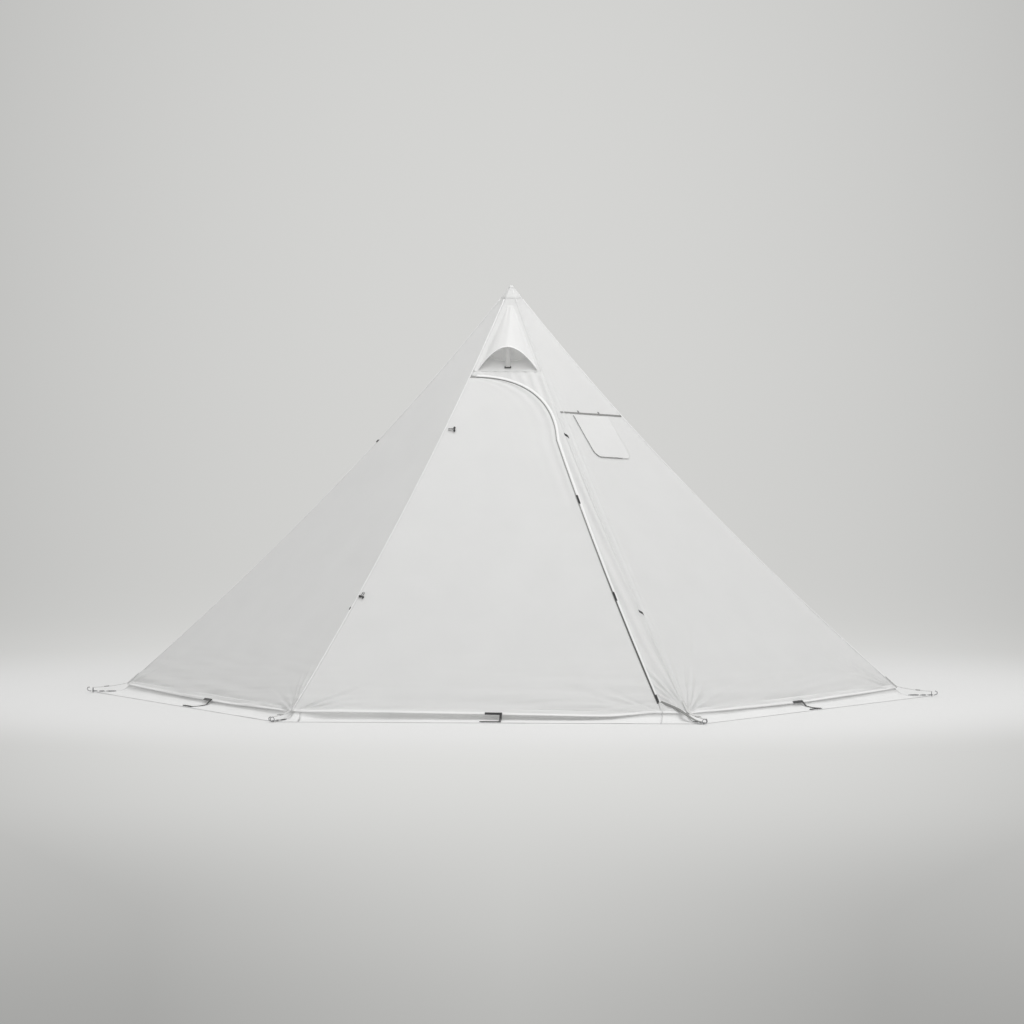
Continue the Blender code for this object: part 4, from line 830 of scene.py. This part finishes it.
def make_guy_tabs():
    """Webbing tabs folded over the ridges, each sewn down along its edges."""
    for name, heights in GUY_TABS.items():
        for number, middle in enumerate(heights):
            def place(u, v):
                rise = TAB_HALF_HEIGHT / slope_length(middle)
                height = middle + rise * (2 * v - 1) - TAB_LEANS.get(name, 0.0) * (u - 0.5)
                lift = 0.0016 + 0.0012 * smooth(min(u, 1 - u, v, 1 - v) / 0.12)
                aside = TAB_WIDTH * (u - 0.5) - TAB_SHIFTS.get(name, 0.0)
                return on_ridge(CORNERS[name], aside, height, lift)
            label = "guy_tab_%s_%d" % (name, number)
            add_piece(sheet_mesh(label, 8, 8, place), BLACK_WEB, "tent", 0.0014, "black_webbing")


make_bindings()
make_ridge_tapes()
make_guy_tabs()


# Skirts

# Outline of the skirt, from its edge on the floor in to the wall: metres out from the hem, and height
SKIRT_CLOSED = [(0.110, 0.0010), (0.085, 0.0014), (0.060, 0.0022), (0.040, 0.0042), (0.022, 0.0085),
                (0.009, 0.0150), (0.001, 0.0225), (-0.005, 0.0310), (-0.0121, 0.0480)]
SKIRT_OPEN = [(0.110, 0.0010), (0.085, 0.0014), (0.060, 0.0019), (0.032, 0.0026), (0.008, 0.0042),
              (-0.006, 0.0080), (-0.012, 0.0145), (-0.015, 0.0260), (-0.0121, 0.0480)]
SKIRT_WIDTH = 0.110
CORNER_LAP = 0.0297


def skirt_section(share, gape):
    """Distance out and height of the skirt at a share of its outline; gape opens the slot under the hem."""
    spots = [mixed(shut, wide, gape) for shut, wide in zip(SKIRT_CLOSED, SKIRT_OPEN)]
    run = share * (len(spots) - 1)
    index = min(int(run), len(spots) - 2)
    part = run - index
    # A smooth curve through the outline's points, of which the first and the last count twice
    spots = [spots[0], *spots, spots[-1]]
    return [a * (2 * part ** 3 - 3 * part ** 2 + 1) + (b - before) / 2 * (part ** 3 - 2 * part ** 2 + part)
            + b * (3 * part ** 2 - 2 * part ** 3) + (after - a) / 2 * (part ** 3 - part ** 2)
            for before, a, b, after in zip(*spots[index:index + 4])]


def skirt_spot(side, left, right, seed, u, v):
    """A place on a skirt: u runs across it, and v from its edge on the floor up to the hem.
    Its left and right ends are across values, or None where a mitre follows the corner."""
    apart = apothem(HEM_HEIGHT)

    def across_at(distance):
        mitre = distance * tan(radians(30)) - 0.0012
        return between(-mitre if left is None else left, mitre if right is None else right, u)
    gape = 0.0
    if side == FRONT and right is not None:
        span = zip_across(HEM_HEIGHT) + HEM_HALF
        run = (across_at(apart + SKIRT_WIDTH * (1 - v) - 0.012 * v) + HEM_HALF) / span
        gape = smooth(run / 0.10) * (1 - smooth((run - 0.76) / 0.17))
    reach, height = skirt_section(v, gape)
    distance = apart + reach
    across = across_at(distance)
    flat = smooth((reach + 0.004) / 0.05)
    wave = waves(across * 5.5, reach * 6, seed * 3.3) + 0.6 * waves(across * 15, reach * 12, seed * 5.1)
    fine = waves(across * 38, reach * 25, seed * 7.9)
    rim = 1 - 0.85 * smooth((reach - 0.085) / 0.025)
    lift = (0.0042 * max(0.0, wave) + 0.0009 * max(0.0, fine)) * flat * rim
    edge = smooth((u if left is None else 1) / 0.02) * smooth((1 - u if right is None else 1) / 0.02)
    sway = 0.0018 * waves(across * 9, height * 20, seed + 1) * (1 - flat)
    sway *= smooth((HEM_HEIGHT + 0.006 - height) / 0.02)
    return outwards(side) * (distance + sway) + sideways(side) * across + upright(height + lift * edge)


def make_skirts():
    lines = {"skirt_" + name: (side, None, None, "tent") for name, side in PLAIN_SIDES.items()}
    lines["skirt_front_frame"] = (FRONT, FRAME_EDGE[0][0] - 0.0004, None, "tent")
    lines["skirt_front_door"] = (FRONT, 0.030 - HEM_HALF, DOOR_EDGE[0][0] + 0.0004, "door")
    rows = 28
    for seed, (name, (side, left, right, body)) in enumerate(lines.items()):
        columns = max(8, round((1.7 if left is None else 1.5 if right else 0.2) / STEP))
        mesh = sheet_mesh("cloth_" + name, columns, rows,
                          lambda u, v: skirt_spot(side, left, right, seed, u, v))
        if name == "skirt_front_left":        # its end laps the corner, under the door's skirt
            lap = sheet_mesh("corner_lap", 4, rows,
                             lambda u, v: skirt_spot(FRONT, None, CORNER_LAP - HEM_HALF, seed, u, v))
            both = bmesh.new()
            both.from_mesh(mesh)
            both.from_mesh(lap)
            both.to_mesh(mesh)
            both.free()
            bpy.data.meshes.remove(lap)
        piece = add_piece(mesh, SKIRT_CLOTH, body, 0.0006, "canopy", name)
        ends = [vert.co.dot(sideways(side)) for vert in mesh.vertices]


make_skirts()


# Pieces that keep their solid's shape and get finer edges and their own materials

def dress(name, node, materials, choose=None, body="tent", bevel=0.0003):
    """A copy of a solid's mesh with rounded edges, in one or more materials."""
    mesh = NODES[node].data.copy()
    mesh.name = name
    mesh.materials.clear()
    for material in materials:
        mesh.materials.append(material)
    for face in mesh.polygons:
        face.material_index = choose(face.center) if choose else 0
        face.use_smooth = True
    mesh.set_sharp_from_angle(angle=radians(38))
    piece = new_object(name, mesh)
    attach(piece, body)
    if bevel:
        put(piece.modifiers.new("Edges", "BEVEL"), width=bevel, segments=2, limit_method="ANGLE",
            angle_limit=radians(35))
    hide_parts(node)
    return piece


def paint(node, material):
    """Gives a solid that shows as it is one of the scene's materials."""
    mesh = NODES[node].data
    mesh.materials.clear()
    mesh.materials.append(material)


RING_PLACE = (1.742, 0.0113)          # metres out from the middle, and height
RING_RADIUS = 0.0095
BUCKLE_PLACE = (1.685, 0.0265)


def corner_part(corner, spot):
    """Which part of a corner anchor a point is on: 0 strap, 1 buckle, 2 ring."""
    out, aside = spot.dot(outwards(corner)), spot.dot(sideways(corner))
    if hypot(hypot(aside, spot.z - RING_PLACE[1]) - RING_RADIUS, out - RING_PLACE[0]) < 0.00225:
        return 2
    out, up = out - BUCKLE_PLACE[0], spot.z - BUCKLE_PLACE[1]
    near = abs(out) < 0.0105 and hypot(out, aside, up) < 0.017
    return 1 if near and (abs(aside) > 0.0063 or abs(up) < 0.004) else 0


def dress_solids():
    for name, corner in CORNERS.items():
        dress("corner_strap_" + name, "corner_anchor_" + name, [PALE_WEB, GREY_PLASTIC, RING_METAL],
              lambda spot: corner_part(corner, spot), bevel=0.0)
        paint("peg_" + name, PEG_METAL)
        put(NODES["peg_" + name].modifiers.new("Finer", "SUBSURF"), levels=2, render_levels=2)
    for name, side in {"door": FRONT, **PLAIN_SIDES}.items():
        loop = dress("stake_loop_" + name, "hem_anchor_" + name, [BLACK_WEB],
                     body="door" if name == "door" else "tent", bevel=0.0002)
        for vert in loop.data.vertices:       # the tab hangs with the sagging hem
            sag = hem_sag(side, vert.co.dot(sideways(side)), HEM_HEIGHT)
            share = smooth((vert.co.z - 0.006) / 0.018)
            vert.co += (outwards(side) * slant(HEM_HEIGHT) - upright(1)) * (sag * share)
    dress("zip_foot_strap", "zip_end_strap", [GREY_WEB])
    # The stove seam's grey tape is partly real tape and partly painted shadow: its dark tone also stands for
    # the shade in the gap under the flap's top
    dress("stove_tape_painted_shadow", "stove_seam_tape", [GREY_WEB], bevel=0.0)
    dress("strut_strap", "vent_strut", [PALE_WEB, BLACK_WEB], lambda spot: 1 if spot.z < 1.3735 else 0,
          "strut")
    for name in ("upper", "lower"):
        dress("toggle_bar_" + name, "toggle_" + name, [BLACK_PLASTIC], body=name + "_toggle")
    dress("peak_pocket", "apex_pocket", [HEAT])


dress_solids()


CAP_FOOT = 1.645
NOSE_START = 1.6875
NOSE_RISE = 0.0098


def make_cap():
    """Rounded cap over the peak: six-sided at its foot and round at its nose."""
    sides = 96
    rings = []
    for height in even(CAP_FOOT, NOSE_START, 14):
        lift = between(0.0003, 0.0019, smooth((height - CAP_FOOT) / 0.010))
        rings.append((apothem(height) + lift * slope_length(height), height, 0.0))
    base = rings[-1][0]
    for step in range(1, 13):
        turn = radians(90 * step / 12 * 0.98)
        rings.append((base * cos(turn) ** 0.9, NOSE_START + NOSE_RISE * sin(turn), step / 12))
    points = []
    for reach, height, soft in rings:
        for number in range(sides):
            angle = 360 * number / sides
            corner = min(reach / cos(radians(angle % 60 - 30)), reach * 1.11)
            radius = between(corner, reach * 1.04, smooth(soft * 1.6))
            points.append(outwards(angle) * radius + upright(height))
    points.append(upright(rings[-1][1] + 0.0002))
    faces = [(a, d, c, b) for a, b, c, d in ring_faces(len(rings) - 1, sides)]
    last = (len(rings) - 1) * sides
    faces += [(last + number, last + (number + 1) % sides, len(points) - 1) for number in range(sides)]
    add_piece(new_mesh("cloth_peak_cap", points, faces), CANOPY, "tent", CLOTH, "canopy", "apex_cap")


make_cap()


# Zip

def tube_mesh(name, route, radius):
    """A round bar along a route, as a mesh."""
    curve = put(bpy.data.curves.new(name, "CURVE"), dimensions="3D", bevel_depth=radius, bevel_resolution=2,
                use_fill_caps=True)
    line = curve.splines.new("POLY")
    line.points.add(len(route) - 1)
    for point, where in zip(line.points, route):
        point.co = (*where, 1.0)
    holder = new_object(name + "_route", curve)
    mesh = bpy.data.meshes.new_from_object(holder)
    mesh.name = name
    bpy.data.objects.remove(holder)
    mesh.shade_smooth()
    return mesh


TOOTH_PITCH = 0.0034
ZIP_SIDES = ((-1, "door", "zip_chain_door"), (1, "tent", "zip_chain_frame"))
ZIP_TABS = (0.474, 0.848)
TAB_HALF = 0.0165


def zip_teeth(name, line, sign, start):
    """The teeth on one side of the zip, each a small box; higher up less of them shows."""
    places = [on_face(FRONT, across, height) for across, height in line]
    length = [0.0]
    for first, second in zip(places, places[1:]):
        length.append(length[-1] + (second - first).length)
    teeth = bmesh.new()
    index = 0
    for number in range(int(length[-1] / TOOTH_PITCH)):
        run = (number + start) * TOOTH_PITCH
        while index < len(length) - 2 and length[index + 1] < run:
            index += 1
        share = clamp((run - length[index]) / (length[index + 1] - length[index]))
        across, height = mixed(line[index], line[index + 1], share)
        along = (places[index + 1] - places[index]).normalized()
        normal = face_normal(FRONT, height)
        right = along.cross(normal).normalized()
        turn = Matrix((right, along, normal)).transposed().to_4x4()
        wide = between(0.0027, 0.0016, smooth((height - 0.15) / 0.75))
        middle = on_face(FRONT, across, height, 0.0009) + right * (sign * wide * 0.47)
        place = Matrix.Translation(middle) @ turn @ Matrix.Diagonal((wide, TOOTH_PITCH * 0.60, 0.0017, 1))
        made = bmesh.ops.create_cube(teeth, size=1.0)
        bmesh.ops.transform(teeth, matrix=place, verts=made["verts"])
    mesh = bpy.data.meshes.new(name)
    teeth.to_mesh(mesh)
    teeth.free()
    return mesh


def make_zip():
    line = [(zip_across(h), h) for h in even(ZIP_FOOT, ZIP[60][1], 120)] + rising(ZIP)[61:]
    for part, (sign, body, node) in enumerate(ZIP_SIDES):
        inner, outer = (beside(line, sign * distance) for distance in (0.0002, 0.0052))
        edges = (outer, inner) if sign < 0 else (inner, outer)
        panel_strip("zip_tape_%d" % part, FRONT, *edges, 0.0002, ZIP_TAPE, 0.0009, body, slot="zip",
                    replaces=node)
        add_piece(zip_teeth("zip_teeth_%d" % part, line, sign, 0.5 * part), ZIP_PLASTIC, body, slot="zip")
    for number, height in enumerate(ZIP_TABS):
        levels = even(height - TAB_HALF, height + TAB_HALF, 8)
        near = [(zip_across(level) - 0.0006, level) for level in levels]
        far = [(across + 0.0068, level) for across, level in near]
        panel_strip("zip_tab_%d" % number, FRONT, near, far, 0.0060, BLACK_WEB, 0.0018, slot="black_webbing")
    # Welt of folded cloth that leans over the zip, further up it more
    inner = [mixed(near, far, smooth((near[1] - 0.15) / 0.85))
             for near, far in zip(beside(line, 0.0023), beside(line, -0.0004))]
    outer = beside(line, 0.0118)

    def welt(u, v):
        row = round(v * (len(line) - 1))
        across, height = mixed(inner[row], outer[row], u)
        return on_face(FRONT, across, height, 0.0024 + 0.0026 * sin(pi * min(u * 1.15, 1.0)) ** 0.8
                       - 0.0016 * smooth((u - 0.75) / 0.25))
    add_piece(sheet_mesh("trim_zip_welt", 10, len(line) - 1, welt), TAPE_CLOTH, "tent", 0.0006, "tape")
    paint("zip_slider", BLACK_PLASTIC)
    paint("zip_pull", BLACK_PLASTIC)


make_zip()


# Stove jack

FLAP_LENGTH = 0.215
FLAP_WIDTH = 0.245
FLAP_CORNER = 0.036
PIPING_LIFT = 0.0030


def stove_spot(along, up, out):
    """A place by the stove jack: along its tilted top seam, up from it and out of the cloth."""
    tilt = radians(STOVE_TILT)
    across = STOVE_ACROSS + along * cos(tilt) + up * sin(tilt)
    rise = -along * sin(tilt) + up * cos(tilt)
    return on_face(FRONT_RIGHT, across, STOVE_HEIGHT + rise / slope_length(STOVE_HEIGHT), out)


def open_window():
    """Cuts the jack's window out of the front right cloth."""
    top, foot, half = -WINDOW_DROP, -WINDOW_DROP - WINDOW_LENGTH, WINDOW_WIDTH / 2
    corners = [stove_spot(x, y, 0) for x, y in ((half, foot), (half, top), (-half, top), (-half, foot))]
    centre = sum(corners, Vector()) / 4
    normal = face_normal(FRONT_RIGHT, STOVE_HEIGHT)
    cloth = bpy.data.objects["cloth_front_right"].data
    grid = bmesh.new()
    grid.from_mesh(cloth)
    near = [face for face in grid.faces if (face.calc_center_median() - centre).length < 0.22]
    sides = []
    for first, second in zip(corners, corners[1:] + corners[:1]):
        away = (second - first).cross(normal)
        sides.append((first, away))
        parts = dict.fromkeys(part for face in near for part in (face, *face.edges, *face.verts))
        made = bmesh.ops.bisect_plane(grid, geom=list(parts), plane_co=first, plane_no=away)
        near = [part for part in made["geom"] if isinstance(part, bmesh.types.BMFace)]
    inside = [face for face in near
              if all((face.calc_center_median() - first).dot(away) < 0 for first, away in sides)]
    bmesh.ops.delete(grid, geom=inside, context="FACES")
    grid.to_mesh(cloth)
    grid.free()


def flap_spot(s, down, lift):
    """A place on the flap: s runs from -1 to 1 across it, whose lower corners are round."""
    into = max(0.0, down - (FLAP_LENGTH - FLAP_CORNER))
    half = FLAP_WIDTH / 2 - (FLAP_CORNER - sqrt(max(0.0, FLAP_CORNER ** 2 - into ** 2)))
    wave = 0.0006 + 0.0010 * waves(s * 3, down * 14, 5.0) + 0.0006 * waves(s * 8, down * 40, 6.0)
    return stove_spot(half * s, -down, lift + max(0.0, wave) * smooth(down / 0.02))


def make_stove():
    open_window()

    def place(u, v):
        return flap_spot(2 * u - 1, FLAP_LENGTH * sin((1 - v) * pi / 2 * 0.985), 0.0024)
    rows, columns = ((48, 56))
    flap = add_piece(sheet_mesh("cloth_stove_flap", columns, rows, place), CANOPY, "flap", 0.0012, "canopy",
                     "stove_flap")
    flap.data.materials[1] = TAPE_CLOTH

    straight, last = FLAP_LENGTH - FLAP_CORNER, FLAP_LENGTH * 0.999
    turns = [radians(90 * step / 12 * 0.97) for step in range(1, 13)]
    downs = even(0.004, straight, 24) + [min(straight + FLAP_CORNER * sin(turn), last) for turn in turns]
    route = [flap_spot(-1, down, PIPING_LIFT) for down in downs]
    route += [flap_spot(s, last, PIPING_LIFT) for s in even(-0.93, 0.62, 24)]
    add_piece(tube_mesh("trim_flap_piping", route, 0.0011), GREY_WEB, "flap", slot="grey_webbing")
    dress("cloth_stove_jack", "stove_jack", [HEAT], bevel=0.0)


make_stove()


# Pole

for node, material in {"pole_lower_tube": ALUMINIUM, "pole_upper_tube": ALUMINIUM, "pole_tip": RUBBER,
                       "pole_foot": RUBBER, "pole_clamp": BLACK_PLASTIC, "pole_lever": BLACK_PLASTIC}.items():
    paint(node, material)


# Studio

FOCAL_PIXELS = 12042        # from the photograph's perspective, for its 1024 pixels
CAMERA = (3.09, -49.70, 3.859)
CAMERA_LEVEL = Vector((-0.062, 0.998, 0))
CAMERA_PITCH = 0.0622


def set_camera():
    lens = put(bpy.data.cameras.new("Camera"), sensor_width=36.0, lens=FOCAL_PIXELS * 36 / 1024,
               clip_start=1.0, clip_end=1000.0)
    aim = CAMERA_LEVEL.normalized() * cos(CAMERA_PITCH) - upright(sin(CAMERA_PITCH))
    bpy.context.scene.camera = put(new_object("Camera", lens), location=CAMERA, rotation_mode="QUATERNION",
                                   rotation_quaternion=aim.to_track_quat("-Z", "Y"))


def grey(level):
    """Linear value of a display level from 0 to 255."""
    share = level / 255
    return ((share + 0.055) / 1.055) ** 2.4


FLOOR_SIZE = 400.0
FLOOR_NEAR, FLOOR_FAR = -60.0, 160.0
# Tuned display level of the painted light and shade on the floor and backdrop, brightest near the tent, by
# metres behind the tent
FLOOR_PAINTED_LIGHT = [(-60, 222), (-28, 214), (-16, 176), (-12.3, 187), (-10, 198), (-7.2, 208), (-4.4, 219),
               (-1.3, 227), (1.6, 226), (4.2, 212), (9, 210), (30, 214), (146, 210)]


def make_floor():
    corners = [(x * FLOOR_SIZE, y * FLOOR_SIZE, 0) for x, y in ((-1, -1), (1, -1), (1, 1), (-1, 1))]
    mesh = new_mesh("Floor", corners, [(0, 1, 2, 3)])
    floor = new_object("Floor", mesh)
    floor.location.z = -0.0005
    graph = Graph("studio_floor", pale(0.80), 0.6)
    graph.shade({"Specular IOR Level": 0.1})
    place = graph.add("NewGeometry", {}, "Position")
    x, y, _ = graph.add("SeparateXYZ", {"Vector": place}).node.outputs
    # Backdrop and far floor, as the camera and reflections see them: painted light and shade that glows,
    # lighter or darker with distance
    share = graph.add("MapRange", {"Value": y, "From Min": FLOOR_NEAR, "From Max": FLOOR_FAR})
    tone = graph.add("ValToRGB", {"Fac": share}, "Color")
    tone.node.color_ramp.interpolation = "B_SPLINE"
    stops = tone.node.color_ramp.elements
    while len(stops) < len(FLOOR_PAINTED_LIGHT):
        stops.new(0.5)
    for stop, (where, level) in zip(stops, FLOOR_PAINTED_LIGHT):
        put(stop, position=(where - FLOOR_NEAR) / (FLOOR_FAR - FLOOR_NEAR),
            color=(grey(level), grey(level), grey(level - 2), 1.0))
    calc = graph.math
    # Painted shade: darker to both sides, by how far aside a place lies for its distance, most of all in
    # front
    aside = calc("DIVIDE", calc("SUBTRACT", x, CAMERA[0]), calc("SUBTRACT", y, CAMERA[1]))
    aside = calc("ADD", aside, 0.0621)        # the camera looks that much to the left
    square = calc("MULTIPLY", aside, aside)
    front = graph.add("MapRange", {"Value": y, "From Min": -5.0, "From Max": -10.0},
                      interpolation_type="SMOOTHSTEP")
    away = calc("MINIMUM", calc("MULTIPLY", calc("ABSOLUTE", aside), 33.0), 1.0)
    away = calc("MULTIPLY", calc("MULTIPLY", away, front), 0.11)
    painted_side_shade = calc("SUBTRACT", calc("SUBTRACT", 1.0, calc("MULTIPLY", square, 93.0)), away)
    # The painted light and shade glow from the floor as emission, no less than 0.8 of the tone
    painted_floor_glow = graph.add("Emission", {"Color": tone, "Strength": calc("MAXIMUM", painted_side_shade, 0.80)})
    distance = graph.add("VectorMath", {0: place}, "Value", operation="LENGTH")
    far = graph.add("MapRange", {"Value": distance, "From Min": 1.9, "From Max": 3.4},
                    interpolation_type="SMOOTHSTEP")
    rays = graph.add("LightPath", {}).node.outputs
    seen = rays["Is Camera Ray"]
    for name in ("Is Glossy Ray", "Is Transmission Ray"):
        seen = calc("MAXIMUM", seen, rays[name])
    # From 1.9 m to 3.4 m out from the middle, camera, glossy and transmission rays come to see the painted
    # glow in place of the lit floor
    graph.mix(calc("MULTIPLY", far, seen), painted_floor_glow)
    mesh.materials.append(graph.material)


def set_lights():
    """A pale world, a broad soft sun from in front and a soft lamp overhead."""
    world = bpy.data.worlds.new("Studio")
    bpy.context.scene.world = world
    world.use_nodes = True
    background = world.node_tree.nodes["Background"].inputs
    background["Color"].default_value = (1.0, 1.0, 0.995, 1.0)
    background["Strength"].default_value = 0.62
    key = put(bpy.data.lights.new("Key", "SUN"), energy=0.64, angle=radians(35))
    put(new_object("Key", key), rotation_mode="QUATERNION",
        rotation_quaternion=Vector((0.36, -0.42, 0.84)).to_track_quat("Z", "Y"))
    overhead = put(bpy.data.lights.new("Overhead", "AREA"), shape="DISK", size=1.5, energy=46.0)
    new_object("Overhead", overhead).location = (0.5, -0.8, 4.4)
    bpy.context.scene.view_settings.view_transform = "Standard"


set_camera()
make_floor()
set_lights()
